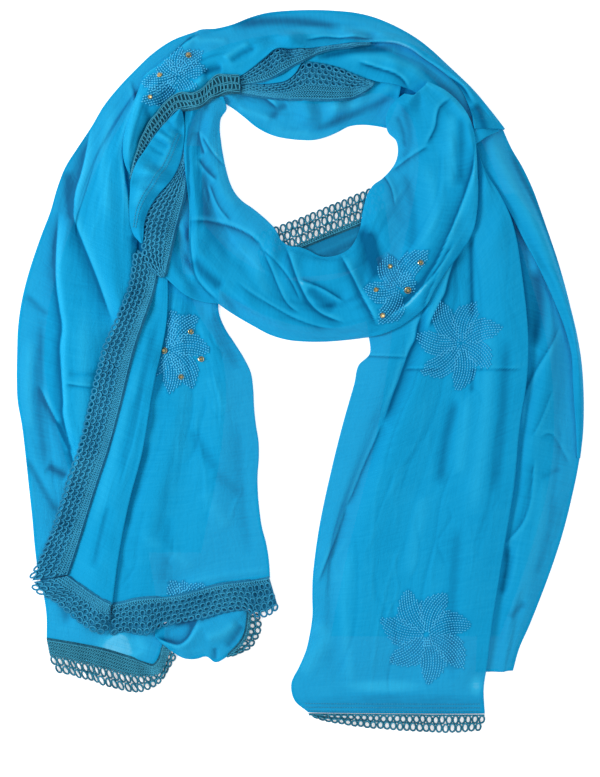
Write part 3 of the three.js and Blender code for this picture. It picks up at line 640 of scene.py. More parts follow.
# middle, reach sideways and up the board, and strength: below zero is paler, above is deeper
PALE = {"outer_left_fall": [((-170, -255), 22, 13, -1.2)],
        "right_tail_front": [((80, -293), 32, 6, -0.7), ((168, -292), 6, 9, -0.8),
                             ((96, -309), 95, 9, 0.35)]}


def stitch_shade_and_layers(name, grid):
    """How much darker the cloth is painted at each point under stitching, as painted shade, deeper where
    it is double, or paler where single.
    """
    board = np.zeros(SHAPE)
    y, x = np.indices(SHAPE) * CELL + LOW[::-1, None, None]
    for middle, wide, high, strength in PALE.get(name, []):
        flat = ((x - middle[0]) / wide) ** 2 + ((y - middle[1] - BOARD_SHIFT[1]) / high) ** 2
        board += strength * np.exp(-flat ** 2)
    for flower, (host, _, _, right_side, _) in FLOWERS.items():
        if host == name:
            board[cell_of(STITCHES[flower].reshape(-1, 2))] += 0.6 if right_side else 0.45
    return between_cells(board, grid)


# %% [markdown]
# ## From a grid to a sheet
# A sheet is a grid of four-sided faces with a UV map in metres: U across the strip and V along
# it, so a weave of real size follows the cloth round every bend. Its borders are turned under
# by a few millimetres, because nearly every edge of a wound stole is a fold or a rolled hem.
# Where a border is high above what lies below, the fold comes round and down to it instead, so
# that it doesn't seem to float when it is seen from the side.

# %% Turned and hanging borders
TURN = 3.5        # millimetres of cloth that each border turns under
HANG_FROM = 2.0   # a border higher than this above what is below hangs down to it instead
HANG_MOST = 12.0  # and it hangs no further than this
ROUND = 1.05      # millimetres that the bend of a turned border stands out
CLEAR = 0.6       # kept between a hanging border and what is below it


def turned_under(grid):
    """The grid with two more rows at each border: turned back under, or hanging to what is below."""
    for _ in range(2):
        ends = []
        for border, inner in ((grid[0], grid[1]), (grid[-1], grid[-2])):
            out = border - inner
            out[..., 2] = 0
            out /= np.maximum(np.linalg.norm(out, axis=-1, keepdims=True), 1e-6)
            gap = border[..., 2:] - between_cells(pile, border)[..., None] - CLEAR
            back = np.where(gap > HANG_FROM, 0.3, ROUND - TURN)
            drop = np.clip(np.where(gap > HANG_FROM, gap, 0.85), 0.85, HANG_MOST)
            rounded = border + 0.45 * out - np.array([0, 0, 0.4])
            ends.append([rounded, border + back * out - drop * np.array([0, 0, 1.0])])
        grid = np.concatenate([[ends[0][1], ends[0][0]], grid, ends[1]]).swapaxes(0, 1)
    grid[..., 2] = np.maximum(grid[..., 2], 0.12)
    return grid


def lengths(grid):
    """Mean distance of each row from the first one, along the strip."""
    steps = np.linalg.norm(np.diff(grid, axis=0), axis=2).mean(axis=1)
    return np.concatenate([[0], np.cumsum(steps)])


print("each border turns under, mm:", TURN)

# %% [markdown]
# ## The sheet as an object
# The grid becomes a mesh, and the painted shade and highlight of each fold, with the paler single
# and deeper double layers, is stored on its points as an attribute that a material can read.
# Painting it on a picture would work too, but an attribute stays right whenever the sheet changes.

# %% Making sheets
def new_object(name, points, faces, finish):
    """A smooth-shaded object from points in millimetres."""
    mesh = bpy.data.meshes.new(name)
    mesh.from_pydata((np.asarray(points) * MM).tolist(), [], faces)
    mesh.materials.append(finish)
    mesh.polygons.foreach_set("use_smooth", [True] * len(faces))
    mesh.update()
    piece = bpy.data.objects.new(name, mesh)
    bpy.context.scene.collection.objects.link(piece)
    return piece


def grid_faces(rows, columns, first=0):
    """The four-sided faces of a grid whose points are numbered row by row from first."""
    corner = (np.arange(rows - 1)[:, None] * columns + np.arange(columns - 1)).ravel() + first
    return np.stack([corner, corner + 1, corner + columns + 1, corner + columns], axis=1)


def sheets_object(name, layers, finish):
    """One object of one or more sheets, each a grid and the painted shade of its folds."""
    points, faces, uvs, shades_and_layers = [], [], [], []
    for grid, shade_and_layers in layers:
        grid = turned_under(grid)
        shade_and_layers = np.pad(shade_and_layers, 2, mode="edge")
        rows, columns = grid.shape[:2]
        along, across = lengths(grid), lengths(grid.swapaxes(0, 1))
        faces.append(grid_faces(rows, columns, sum(map(len, points))))
        points.append(grid.reshape(-1, 3))
        uvs.append(np.stack(np.meshgrid(across, along), axis=-1).reshape(-1, 2) * MM)
        shades_and_layers.append(shade_and_layers.ravel())
    faces, uvs = np.concatenate(faces), np.concatenate(uvs)
    piece = new_object(name, np.concatenate(points), faces.tolist(), finish)
    piece.data.uv_layers.new(name="weave").data.foreach_set("uv", uvs[faces.ravel()].ravel())
    shade = piece.data.attributes.new("fold", "FLOAT", "POINT")
    shade.data.foreach_set("value", np.clip(np.concatenate(shades_and_layers), -1, DEEPEST))
    return piece


print("faces in a grid of 3 by 4 points:", len(grid_faces(3, 4)))


# %% [markdown]
# ## Colours and the node helper
# A colour is written as the sRGB hex value that a dyer's card would show, and one function
# turns it to the linear light that shaders work in. One helper adds any shader node with its
# settings and its links, so that a material reads as a short list. Every finish here works the
# same way: a tone between 0 and 1 picks a colour from a ramp of dyes. A pattern's size is given
# in millimetres, and a texture's scale is how many of them fit in a metre.

# %% Material helpers
def hex_colour(code):
    """Linear RGBA of an sRGB hex colour."""
    parts = [int(code[i:i + 2], 16) / 255 for i in (1, 3, 5)]
    return [c / 12.92 if c <= 0.04045 else ((c + 0.055) / 1.055) ** 2.4 for c in parts] + [1]


def add_node(tree, kind, settings=(), **links):
    """Adds a node: settings are its own values or its sockets' values, links feed its sockets."""
    node = tree.nodes.new(kind)
    for key, value in dict(settings).items():
        if isinstance(key, str) and hasattr(node, key):
            setattr(node, key, value)
        else:
            node.inputs[key].default_value = value
    for key, source in links.items():
        socket = node.inputs[int(key[1:]) if key[1:].isdigit() else key.replace("_", " ")]
        tree.links.new(source, socket)
    return node


def in_a_metre(size):
    """How many of a pattern, by its size in millimetres, fit in a metre."""
    return 1000 / size


def new_material(name, settings, dyes):
    """A material, its node tree, its shader, and the ramp of dyes that feeds its colour."""
    material = bpy.data.materials.new(name)
    material.use_nodes = True
    tree = material.node_tree
    shader = tree.nodes["Principled BSDF"]
    for key, value in settings.items():
        shader.inputs[key].default_value = value
    dye = add_node(tree, "ShaderNodeValToRGB")
    steps = dye.color_ramp.elements
    for step, (at, colour) in zip((steps[0], steps[1]), (dyes[0], dyes[-1])):
        step.position = at
        step.color = hex_colour(colour)
    for at, colour in dyes[1:-1]:
        steps.new(at).color = hex_colour(colour)
    tree.links.new(dye.outputs["Color"], shader.inputs["Base Color"])
    return material, tree, shader, dye


def weighed(tree, base, parts):
    """The sum of a base and of several values, each times its weight."""
    tone = None
    for value, weight in parts:
        links = {"_0": value} if tone is None else {"_0": value, "_2": tone}
        settings = {"operation": "MULTIPLY_ADD", 1: weight, 2: base}
        tone = add_node(tree, "ShaderNodeMath", settings, **links).outputs[0]
    return tone


print("turquoise in linear light:", np.round(hex_colour("#0C94C8")[:3], 3))


# %% [markdown]
# ## Chiffon
# Chiffon is a plain weave of crepe-twisted threads, about 30 to the centimetre, so sheer that a
# single layer over white looks pale and three layers look deep. Its hard-twisted threads make
# it matt with a faint bloom at grazing angles, and pull it into a fine crinkle. The real thread
# spacing of 0.35 mm is too fine to show, so the weave is drawn at 1.4 mm. Thicker warp and weft
# threads show as faint streaks along and across. Colour follows the painted shade and highlight
# of the folds kept in each sheet, and slow cloudy changes stand for uneven dye.

# %% Chiffon finishes
WEAVE = 1.4               # all in millimetres: thread spacing as drawn
STREAK = (3.85, 23.8)     # a thick warp thread, across and along the strip
SLUB = (27.8, 1.92)       # a thick weft thread, across and along
CRINKLE = 4.17            # the crepe's own crinkle
CLOUD = 62.5              # uneven dye


def chiffon(name, pale, light, middle, deep, alpha):
    """Dyed chiffon: pale where single, light on crests as painted highlight, middle on the flat, deep in
    its folds as painted shade.
    """
    material, tree, shader, dye = new_material(name, {
        "Roughness": 0.75, "IOR": 1.46, "Specular IOR Level": 0.05, "Sheen Weight": 0.05,
        "Sheen Roughness": 0.45, "Sheen Tint": hex_colour("#7FD4F5"), "Alpha": alpha},
        [(0.0, pale), (0.22, light), (0.56, middle), (1.0, deep)])
    cloth = add_node(tree, "ShaderNodeUVMap", {"uv_map": "weave"}).outputs["UV"]
    place = add_node(tree, "ShaderNodeTexCoord").outputs["Object"]
    # The fold attribute holds painted shade in the folds and painted highlight on the crests.
    shade_and_layers = add_node(tree, "ShaderNodeAttribute", {"attribute_name": "fold"}).outputs["Fac"]
    cloud = add_node(tree, "ShaderNodeTexNoise", {"Scale": in_a_metre(CLOUD), "Detail": 3.0},
                     Vector=place).outputs["Fac"]
    lengthwise, crosswise, threads = (
        add_node(tree, "ShaderNodeMapping", {"Scale": (across, along, 1)}, Vector=cloth).outputs[0]
        for across, along in (map(in_a_metre, STREAK), map(in_a_metre, SLUB),
                              [2 * math.pi * in_a_metre(WEAVE)] * 2))
    streak = add_node(tree, "ShaderNodeTexNoise", {"Scale": 1.0, "Detail": 4.0, "Distortion": 0.6},
                      Vector=lengthwise).outputs["Fac"]
    slub = add_node(tree, "ShaderNodeTexNoise", {"Scale": 1.0, "Detail": 3.0},
                    Vector=crosswise).outputs["Fac"]
    tone = weighed(tree, 0.3, [(cloud, 0.16), (streak, 0.09), (slub, 0.21), (shade_and_layers, 0.42)])
    tree.links.new(tone, dye.inputs[0])
    split = add_node(tree, "ShaderNodeSeparateXYZ", _0=threads)
    warp, weft = (add_node(tree, "ShaderNodeMath", {"operation": "SINE"}, _0=split.outputs[k]).outputs[0]
                  for k in (0, 1))
    weave = add_node(tree, "ShaderNodeMath", {"operation": "MULTIPLY"}, _0=warp, _1=weft).outputs[0]
    crinkle = add_node(tree, "ShaderNodeTexNoise", {"Scale": in_a_metre(CRINKLE), "Detail": 3.0,
                                                    "Distortion": 0.8}, Vector=place).outputs["Fac"]
    links = {}
    reliefs = ((streak, 0.35, 0.0012), (crinkle, 0.5, 0.0009), (weave, 0.12, 0.0002))
    for relief, strength, distance in reliefs:
        bump = add_node(tree, "ShaderNodeBump", {"Strength": strength, "Distance": distance},
                        Height=relief, **links)
        links = {"Normal": bump.outputs[0]}
    tree.links.new(links["Normal"], shader.inputs["Normal"])
    return material


turquoise = chiffon("turquoise_crepe_chiffon", "#6CC4E8", "#22A8D8", "#0C94C8", "#005E8C", 0.985)
folded = chiffon("chiffon_in_folded_layers", "#6CC4E8", "#128FC8", "#0782BD", "#005486", 0.99)
# A darker copy of the chiffon: painted shade for the far side of the loop, behind the neck.
shaded = chiffon("chiffon_in_painted_shade_behind_neck", "#6CC4E8", "#1088B6", "#07709C", "#003F60", 0.99)
print("chiffon finishes:", turquoise.name, folded.name, shaded.name)
FINISHES = {"turquoise_chiffon": turquoise, "chiffon_folded": folded}
OWN_FINISH = {"neck_back_panel": shaded}   # the far side of the loop, always in shade

# %% [markdown]
# ## Fine, even grids
# A wall's grid is too coarse to hold a crease. A subdivision modifier would smooth it, but would
# shrink its borders. Adding rows and columns that pass through the old points keeps them, and
# then they are spaced evenly both ways. A hidden bundle only needs to be smooth.

# %% Fine grids
FINE = 1.6   # millimetres between the points of a finished sheet
BUNDLES = ("folded_layers_inside", "cowl_layers_inside")


def evened(grid):
    """The grid with its points spaced evenly from the first row to the last."""
    steps = np.linalg.norm(np.diff(grid, axis=0), axis=2)
    reached = np.concatenate([np.zeros((1, grid.shape[1])), np.cumsum(steps, axis=0)])
    count = max(4, math.ceil(reached[-1].max() / FINE) + 1)
    share = np.linspace(0, 1, count)
    columns = [np.stack([np.interp(share * at[-1], at, points[:, k]) for k in range(3)], axis=1)
               for at, points in zip(reached.T, grid.swapaxes(0, 1))]
    return np.stack(columns, axis=1)


def fine_grid(name):
    """A wall's grid made fine and even both ways, or only smoothed where the sheet is hidden."""
    grid = grids[name]
    if name in BUNDLES:
        return finer(finer(grid, 3).swapaxes(0, 1), 8).swapaxes(0, 1)
    for _ in range(2):
        step = np.linalg.norm(np.diff(grid, axis=0), axis=2).mean()
        grid = finer(grid, max(1, math.ceil(step / FINE))).swapaxes(0, 1)
    return evened(evened(grid).swapaxes(0, 1)).swapaxes(0, 1)


print("rows and columns of the cowl:", grids["cowl"].shape[:2], "made", fine_grid("cowl").shape[:2])

# %% [markdown]
# ## Laying the cloth
# The sheets are laid in the order of winding, from the surface up. Each hidden bundle of folded
# layers comes before what covers it, as three sheets one above the other that fill the packed
# solid. Lace is laid in the same order as a plain sheet for now, so that everything above it
# rests on it, and it is worked into thread afterwards.

# %% Lay every stretch in order
ORDER = [part["node"] for part in frame["record"]["subparts"]]
SLOT = {part["node"]: part["material_slot"] for part in frame["record"]["subparts"]}
BUNDLE_LAYERS = (0.3, 0.62, 0.95)   # how high each sheet of a bundle lies, as a share of the wall
pieces, laid, cuts = {}, {}, {}


def cut_of(grid):
    """Flat width and length of a strip with its turned edges, in metres."""
    whole = turned_under(grid)
    return lengths(whole.swapaxes(0, 1))[-1] * MM, lengths(whole)[-1] * MM


for number, name in enumerate(ORDER):
    sheet = fine_grid(name)
    if SLOT[name] == "cotton_lace":
        rest_on_pile(sheet)
        laid[name] = sheet
    elif name in BUNDLES:
        layers = []
        for share in BUNDLE_LAYERS:
            layer = sheet.copy()
            layer[..., 2] = np.maximum(layer[..., 2] * share, 0.3)
            layers.append((layer, np.full(sheet.shape[:2], 0.5)))
        pieces[name] = sheets_object(name + "_sheets", layers, FINISHES[SLOT[name]])
        laid[name] = layers[-1][0]
    else:
        shade_and_layers = press(sheet, CREASES.get(name, []) + small_creases(name, sheet))
        shade_and_layers += stitch_shade_and_layers(name, sheet)
        rest_on_pile(sheet)
        finish = OWN_FINISH.get(name, FINISHES[SLOT[name]])
        pieces[name] = sheets_object(name + "_sheet", [(sheet, shade_and_layers)], finish)
        laid[name] = sheet
    cuts[name] = cut_of(laid[name])
    add_to_pile(laid[name], number)
print("highest point of the cloth, mm:", round(float(pile.max()), 1))
print("faces in the sheets:", sum(len(piece.data.polygons) for piece in pieces.values()))

# %% [markdown]
# ## Thread
# Lace and stitches are thread, so they are made as thread: a bundle of centre lines becomes
# closed tubes with a slightly flattened section. All lines of one batch have the same number
# of points, so numpy can build them together, which is far faster than one curve at a time.
# Each point also keeps whether it is on the crest of its thread or down its flank. That value
# paints the thread paler along its crest, as painted highlight, and darker down its flanks and in
# the gaps, as painted shade, and that contrast is what makes lace legible.

# %% Building thread
def tubes(lines, normals, radius, flat=0.8, sides=5):
    """Points, faces and crests of closed tubes round centre lines, shape (lines, points, 3)."""
    ahead = np.gradient(lines, axis=1)
    ahead /= np.maximum(np.linalg.norm(ahead, axis=2, keepdims=True), 1e-9)
    beside = np.cross(ahead, normals)
    beside /= np.maximum(np.linalg.norm(beside, axis=2, keepdims=True), 1e-9)
    above = np.cross(beside, ahead)
    turn = np.arange(sides) * 2 * math.pi / sides
    ring = np.cos(turn)[:, None] * beside[:, :, None] + flat * np.sin(turn)[:, None] * above[:, :, None]
    points = lines[:, :, None] + radius * ring
    count, length = lines.shape[:2]
    side = np.arange(sides)
    begin = (np.arange(count) * length * sides)[:, None]
    here = begin[..., None] + (np.arange(length - 1) * sides)[:, None]
    a, b = here + side, here + (side + 1) % sides
    quads = np.stack([a, b, b + sides, a + sides], axis=-1).reshape(-1, 4).tolist()
    first = begin + side
    caps = first[:, ::-1].tolist() + (first + (length - 1) * sides).tolist()
    # The crest value paints each thread paler on its top, as painted highlight, and darker down its
    # flanks, as painted shade.
    crest = np.broadcast_to(0.5 + 0.5 * np.sin(turn), (count, length, sides)).ravel()
    return points.reshape(-1, 3), quads + caps, crest


def spindles(lines, normals, radius, sides=5):
    """Closed spindles between two points each: thin at both ends, thick in the middle."""
    swell = np.array([0.4, 1.0, 0.95, 0.35])
    part = np.linspace(0, 1, len(swell))[:, None]
    paths = lines[:, :1] * (1 - part) + lines[:, 1:] * part
    normals = np.repeat(normals[:, None], len(swell), axis=1)
    points, faces, crest = tubes(paths, normals, 1.0, 0.75, sides)
    points = points.reshape(len(lines), len(swell), sides, 3)
    middle = paths[:, :, None]
    return (middle + (points - middle) * (radius * swell[:, None, None])).reshape(-1, 3), faces, crest


def thread_object(name, batches, finish):
    """One object of many batches of thread; its crest value, 1 on the side that faces up, carries the
    painted highlight and shade.
    """
    points, faces, crests, total = [], [], [], 0
    for spots, polygons, crest in batches:
        points.append(spots)
        crests.append(crest)
        faces += [[p + total for p in polygon] for polygon in polygons]
        total += len(spots)
    piece = new_object(name, np.concatenate(points), faces, finish)
    value = piece.data.attributes.new("crest", "FLOAT", "POINT").data
    value.foreach_set("value", np.concatenate(crests))
    return piece


sample = tubes(np.array([[[0.0, 0, 0], [1, 0, 0], [2, 0, 0]]]), np.array([[[0.0, 0, 1]] * 3]), 0.5)
print("a thread through 3 points has", len(sample[0]), "points and", len(sample[1]), "faces")

# %% [markdown]
# ## A ribbon to work on
# A lace pattern is flat: so far along, so far across, so high. The laid strip is not, so each
# pattern point is looked up on it. That keeps the rings their real size however the ribbon
# bends, which an image stretched over it would not.

# %% Ribbon
class Ribbon:
    """A laid lace strip, asked for by distance along it and share across it."""

    def __init__(self, grid, header_near):
        header = np.array(header_near) + BOARD_SHIFT
        ends = [np.linalg.norm(grid[:, k, :2] - header, axis=1).min() for k in (0, -1)]
        self.grid = grid if ends[0] < ends[1] else grid[:, ::-1]
        self.reached = lengths(self.grid)
        self.length = self.reached[-1]
        self.width = lengths(self.grid.swapaxes(0, 1))[-1]
        ahead, across = np.gradient(self.grid, axis=0), np.gradient(self.grid, axis=1)
        normal = np.cross(ahead, across)
        normal *= np.sign(normal[..., 2:])
        self.normal = normal / np.linalg.norm(normal, axis=2, keepdims=True)

    def at(self, along, share, height):
        """Points and surface normals at the pattern's coordinates."""
        rows, columns = self.grid.shape[:2]
        row = np.interp(along, self.reached, np.arange(rows))
        column = np.clip(share, 0, 1) * (columns - 1)
        r, c = np.minimum(row.astype(int), rows - 2), np.minimum(column.astype(int), columns - 2)
        fr, fc = (row - r)[..., None], (column - c)[..., None]

        def mixed(values):
            low = values[r, c] * (1 - fc) + values[r, c + 1] * fc
            high = values[r + 1, c] * (1 - fc) + values[r + 1, c + 1] * fc
            return low * (1 - fr) + high * fr
        normals = mixed(self.normal)
        return mixed(self.grid) + normals * np.asarray(height)[..., None], normals


side_ribbon = Ribbon(laid["left_side_lace"], (-168, -15))
print("side lace, mm:", round(float(side_ribbon.length)), "by", round(float(side_ribbon.width)))

# %% [markdown]
# ## Crochet lace
# The edging is a stock cotton lace, 27 mm wide. Against the cloth it has a dense header of
# small slanting stitches. Beyond it come rows of yarn rings, each row standing half a step
# aside on the one before, and the last row leaves a scalloped edge. The side of a ring nearer
# the header rides up over its neighbours, as fish scales do. Real threads are built, because
# a bump would close the holes that light comes through.

# %% Header and rings
STEP = 6.2     # millimetres from ring to ring
YARN = 1.0     # radius of the lace yarn
KNIT = 2.9     # length and row height of a header stitch
dice = np.random.default_rng(7)


def header_rows(ribbon, header):
    """Rows of small slanting stitches in pairs, like knitting, from the seam to the loops."""
    rows = max(1, round(header * ribbon.width / KNIT))
    places = np.arange(0, ribbon.length - KNIT, 0.85 * KNIT)
    flat = 0 * places
    batches = []
    for row in range(rows):
        for slant in (-0.5, 0.5):
            middle = (row + 0.5) * header / rows
            aside = middle + slant * header / rows
            begin = places + 0.4 * KNIT * (row % 2)
            start, up = ribbon.at(begin, middle + flat, 0.2 + flat)
            end, _ = ribbon.at(begin + KNIT, aside + flat, 0.6 + flat)
            ends = np.stack([start, end], axis=1)
            ends[..., 2] += dice.uniform(-0.25, 0.35, (len(ends), 1))
            batches.append(spindles(ends, up, 0.25 * KNIT, 4))
    return batches


def ring_rows(ribbon, start, rows):
    """Rows of yarn rings from the header to the outer edge, with a finer strand over each crest, painted
    paler as a highlight.
    """
    count = max(2, round(ribbon.length / STEP))
    step = ribbon.length / count
    high = (1 - start) / rows
    # for the ring and its strand: angles round it, yarn radius, how far raised, and how much painted
    # highlight it takes
    whole = (np.linspace(0.5, 2.5, 13) * math.pi, YARN, 0.0, 0.5)
    strand = (np.linspace(0.1, 0.9, 7) * math.pi, 0.45, 0.8, 1.0)
    batches = []
    for turn, radius, raised, highlight in (whole, strand):
        lines, normals = [], []
        for row in range(rows):
            middles = (np.arange(count - row % 2) + 0.5 * (1 + row % 2)) * step
            each = (len(middles), 1)
            middles = middles[:, None] + dice.normal(0, 0.25, each)
            width = 0.42 * step * dice.uniform(0.9, 1.04, each)
            along = np.clip(middles + width * np.cos(turn), 0, ribbon.length)
            share = start + high * (row + 0.5 - 0.5 * np.sin(turn) + dice.normal(0, 0.03, each))
            height = 0.35 + raised + 0.55 * np.sin(turn) + dice.uniform(-0.1, 0.25, each)
            spots, up = ribbon.at(along, share, height)
            lines.append(spots)
            normals.append(up)
        spots, faces, crest = tubes(np.concatenate(lines), np.concatenate(normals), radius)
        batches.append((spots, faces, crest * highlight))
    return batches


print("rings along the side lace:", round(side_ribbon.length / STEP))

# %% [markdown]
# ## Back, cords and rungs
# Where lace lies on the cloth, its holes are dark with shade and don't show the table. A plain
# dark sheet a little under the rings paints that shade in, far cheaper than a second lace. Its
# inner border is tucked under the cloth, as a sewn header is. Cords cover the header's two
# borders, and rungs serve for the bunched lace of the shoulder, where rings can't be made out.

# %% Back, cords and rungs
RUNG_STEP = 3.7    # millimetres from rung to rung
TUCK = (2.2, 1.4)  # millimetres that the back reaches under the cloth, and down
# The dark sheet's tone is painted shade, as dark as the painted shade on the flank of a yarn.
DARK = 0.28        # the back's tone, as deep as the flank of a yarn


def shade_sheet(ribbon, share):
    """A dark sheet of painted shade behind the lace, from just under the cloth out to a share of its
    width.
    """
    columns = max(3, int(share * (ribbon.grid.shape[1] - 1)) + 1)
    part = ribbon.grid[:, :columns] - np.array([0, 0, 0.45])
    out = part[:, 0] - part[:, 1]
    out /= np.linalg.norm(out, axis=1, keepdims=True)
    tucked = part[:, 0] + TUCK[0] * out - np.array([0, 0, TUCK[1]])
    part = np.concatenate([tucked[:, None], part], axis=1)
    faces = grid_faces(len(part), columns + 1).tolist()
    return part.reshape(-1, 3), faces, np.full(part[..., 0].size, DARK)


def cords(ribbon, shares, wave=0.0):
    """Yarns along the ribbon, straight or waving from side to side."""
    along = np.linspace(0, ribbon.length, max(6, int(ribbon.length / 2)))
    pairs = [ribbon.at(along, share + wave * np.sin(along / 3.1 + 9 * share), 0.1 + 0 * along)
             for share in shares]
    return tubes(np.array([p[0] for p in pairs]), np.array([p[1] for p in pairs]), 0.6)


def rungs(ribbon, low, high):
    """Short yarns across, a little askew, like the rungs of a ladder."""
    places = np.arange(RUNG_STEP / 2, ribbon.length, RUNG_STEP)
    part = np.linspace(0, 1, 5)
    share = low + (high - low) * part
    slant = dice.normal(0, 0.5, (len(places), 1))
    along = np.clip(places[:, None] + slant * (part - 0.5) * 2, 0, ribbon.length)
    spots, up = ribbon.at(along, share + 0 * along, 0.2 + 0.6 * np.sin(math.pi * part) + 0 * along)
    return tubes(spots, up, 0.75)


print("points in the side lace's back:", len(shade_sheet(side_ribbon, 0.5)[0]))

# %% [markdown]
# ## Lace finish
# Mercerised cotton yarn dyed to match: matt and a little fuzzy, teal rather than turquoise,
# because the tight yarn soaks up more dye and shades itself. Its two twisted plies make short
# dark and pale marks about 1 mm apart, drawn here by a fine noise with a bump. Free lace has
# light behind it, and the bunched lace of the shoulder shades itself. The eye sees both darker,
# so they get a darker copy of the finish, with the shade painted in. On every yarn the crest
# value paints a highlight along the top and shade down the flanks.

# %% Lace material
PLY = 1.11      # millimetres from ply to ply of the cotton
PATCH = 33.3    # across a patch of uneven dye


def yarn(name, light, deep, roughness, ply, sheen):
    """Dyed twisted yarn: painted highlight on its crest, painted shade down its flanks, and deeper
    between its plies.
    """
    material, tree, shader, dye = new_material(name, {
        "Roughness": roughness, "IOR": 1.5, "Specular IOR Level": 0.12, "Sheen Weight": sheen,
        "Sheen Roughness": 0.5, "Sheen Tint": hex_colour("#6FC8EA")}, [(0.38, deep), (0.86, light)])
    place = add_node(tree, "ShaderNodeTexCoord").outputs["Object"]
    crest = add_node(tree, "ShaderNodeAttribute", {"attribute_name": "crest"}).outputs["Fac"]
    plies = add_node(tree, "ShaderNodeTexNoise", {"Scale": in_a_metre(ply), "Detail": 2.0},
                     Vector=place).outputs[0]
    cloud = add_node(tree, "ShaderNodeTexNoise", {"Scale": in_a_metre(PATCH)}, Vector=place).outputs[0]
    tone = weighed(tree, 0.0, [(cloud, 0.25), (plies, 0.45), (crest, 0.45)])
    tree.links.new(tone, dye.inputs[0])
    bump = add_node(tree, "ShaderNodeBump", {"Strength": 0.5, "Distance": 0.0004}, Height=plies)
    tree.links.new(bump.outputs[0], shader.inputs["Normal"])
    return material


cotton = yarn("dyed_crochet_cotton", "#3FA6CC", "#055A84", 0.85, PLY, 0.05)
# A darker copy of the cotton: painted shade for free and bunched lace.
cotton_shade = yarn("crochet_cotton_in_painted_shade", "#43A0BF", "#04384F", 0.85, PLY, 0.02)
print("lace finishes:", cotton.name, cotton_shade.name)

# %% [markdown]
# ## Working each stretch of lace
# Each stretch names a board point on its sewn side, how much of its width the header takes,
# how many rows of rings follow, and how far out its dark back of painted shade reaches. Where
# lace lies on the cloth its holes are painted dark by that back, so it reaches far. Where it
# hangs free, light comes through the rings, so it has only the header's back. The lace over the
# left shoulder is bunched, so it shows rungs instead of rings.

# %% Work the lace
LACES = {
    "neck_back_lace": ((20, 133), 0.12, 3, 0.0),
    "left_under_lace": ((-208, -254), 0.5, 2, 0.5),
    "twisted_flap_lace": ((-54, -247), 0.14, 2, 0.0),
    "left_front_end_lace": ((-118, -207), 0.12, 5, 0.9),
    "left_side_lace": ((-168, -15), 0.3, 4, 0.88),
    "left_strip_end_lace": ((-205, -198), 0.36, 4, 0.88),
    "right_tail_end_lace": ((90, -319), 0.04, 2, 0.0),
    "nape_lower_lace": ((10, 266), 0.4, 4, 0.9),
    "nape_upper_lace": ((-30, 284), 0.3, 4, 0.9),
    "cowl_under_lace": ((-110, 176), 0.25, 5, 0.9),
}


def work_lace(name, header_near, header, rows, back):
    """One stretch of lace as one object."""
    ribbon = Ribbon(laid[name], header_near)
    batches = header_rows(ribbon, header) + [cords(ribbon, [0.01, header])]
    if header > 0.05:
        batches.append(shade_sheet(ribbon, max(back, header)))
    batches += ring_rows(ribbon, header, rows)
    return thread_object(name + "_work", batches, cotton if back > 0.8 else cotton_shade)


for name, (header_near, header, rows, back) in LACES.items():
    pieces[name] = work_lace(name, header_near, header, rows, back)
shoulder = Ribbon(laid["shoulder_edge_lace"], (-140, 215))
pieces["shoulder_edge_lace"] = thread_object("shoulder_edge_lace_work", [
    cords(shoulder, [0.03, 0.14, 0.44, 0.52, 0.88, 0.97], wave=0.03),
    rungs(shoulder, 0.1, 0.46), rungs(shoulder, 0.5, 0.92), shade_sheet(shoulder, 1)], cotton_shade)


def triangles_in(objects):
    """How many triangles a list of objects comes to."""
    return sum(len(face.vertices) - 2 for piece in objects for face in piece.data.polygons)


print("triangles in the lace:", {name: triangles_in([pieces[name]]) for name in LACES})

# %% [markdown]
# ## Pressing the stitches into the cloth
# A stitch is a small spindle that lies on its sheet and follows its slope. A ray sent straight
# down from above each end finds the sheet there. Only stitches on the sheet that shows are
# kept, so a flower goes under a fold as the real one does. Rayon is a smooth bright filament,
# so its finish is glossier and paler than the chiffon, although both take the same dye.

# %% Embroider
def surface_of(name):
    """The host sheet as a tree that rays can meet."""
    mesh = pieces[name].data
    corners = [vertex.co[:] for vertex in mesh.vertices]
    return BVHTree.FromPolygons(corners, [face.vertices[:] for face in mesh.polygons])


def pressed_on(tree, spots):
    """Heights and normals of the host sheet under flat spots, with nan where it has none."""
    heights, normals = [], []
    for x, y in spots:
        hit, normal, _, _ = tree.ray_cast(Vector((x * MM, y * MM, 0.2)), Vector((0, 0, -1)))
        heights.append(hit.z / MM if hit else np.nan)
        normals.append(normal[:] if hit else (0, 0, 1))
    return np.array(heights), np.array(normals)


TWIST = 0.714                         # millimetres along a twist of the rayon
RIGHT_SIDE, WRONG_SIDE = 0.78, 0.68   # radius of a stitch as each side of the cloth shows it
rayon = yarn("rayon_embroidery_thread", "#4CC2EE", "#0C86C4", 0.42, TWIST, 0.15)


def embroider(name, host, ends, radius, finish):
    """All visible stitches of one flower or seam as one object."""
    tree = surface_of(host)
    ends = ends[(owner[cell_of(ends)] == ORDER.index(host)).all(axis=1)]
    lows, normals = pressed_on(tree, ends[:, 0])
    highs, _ = pressed_on(tree, ends[:, 1])
    whole = ~np.isnan(lows + highs)
    heights = np.stack([lows, highs], axis=1)[whole] + 0.3
    lines = np.concatenate([ends[whole], heights[..., None]], axis=2)
    print(name, "stitches that show:", len(lines))
    return thread_object(name + "_stitches", [spindles(lines, normals[whole], radius)], finish)


flowers = {}
for name, (host, _, _, right_side, _) in FLOWERS.items():
    radius = RIGHT_SIDE if right_side else WRONG_SIDE
    flowers[name] = embroider(name, host, STITCHES[name], radius, rayon)
for name, (host, in_cotton, _) in SEAMS.items():
    radius, finish = (0.45, cotton) if in_cotton else (1.0, rayon)
    flowers[name] = embroider(name, host, ROWS[name], radius, finish)
HOST = {name: work[0] for name, work in {**FLOWERS, **SEAMS}.items()}

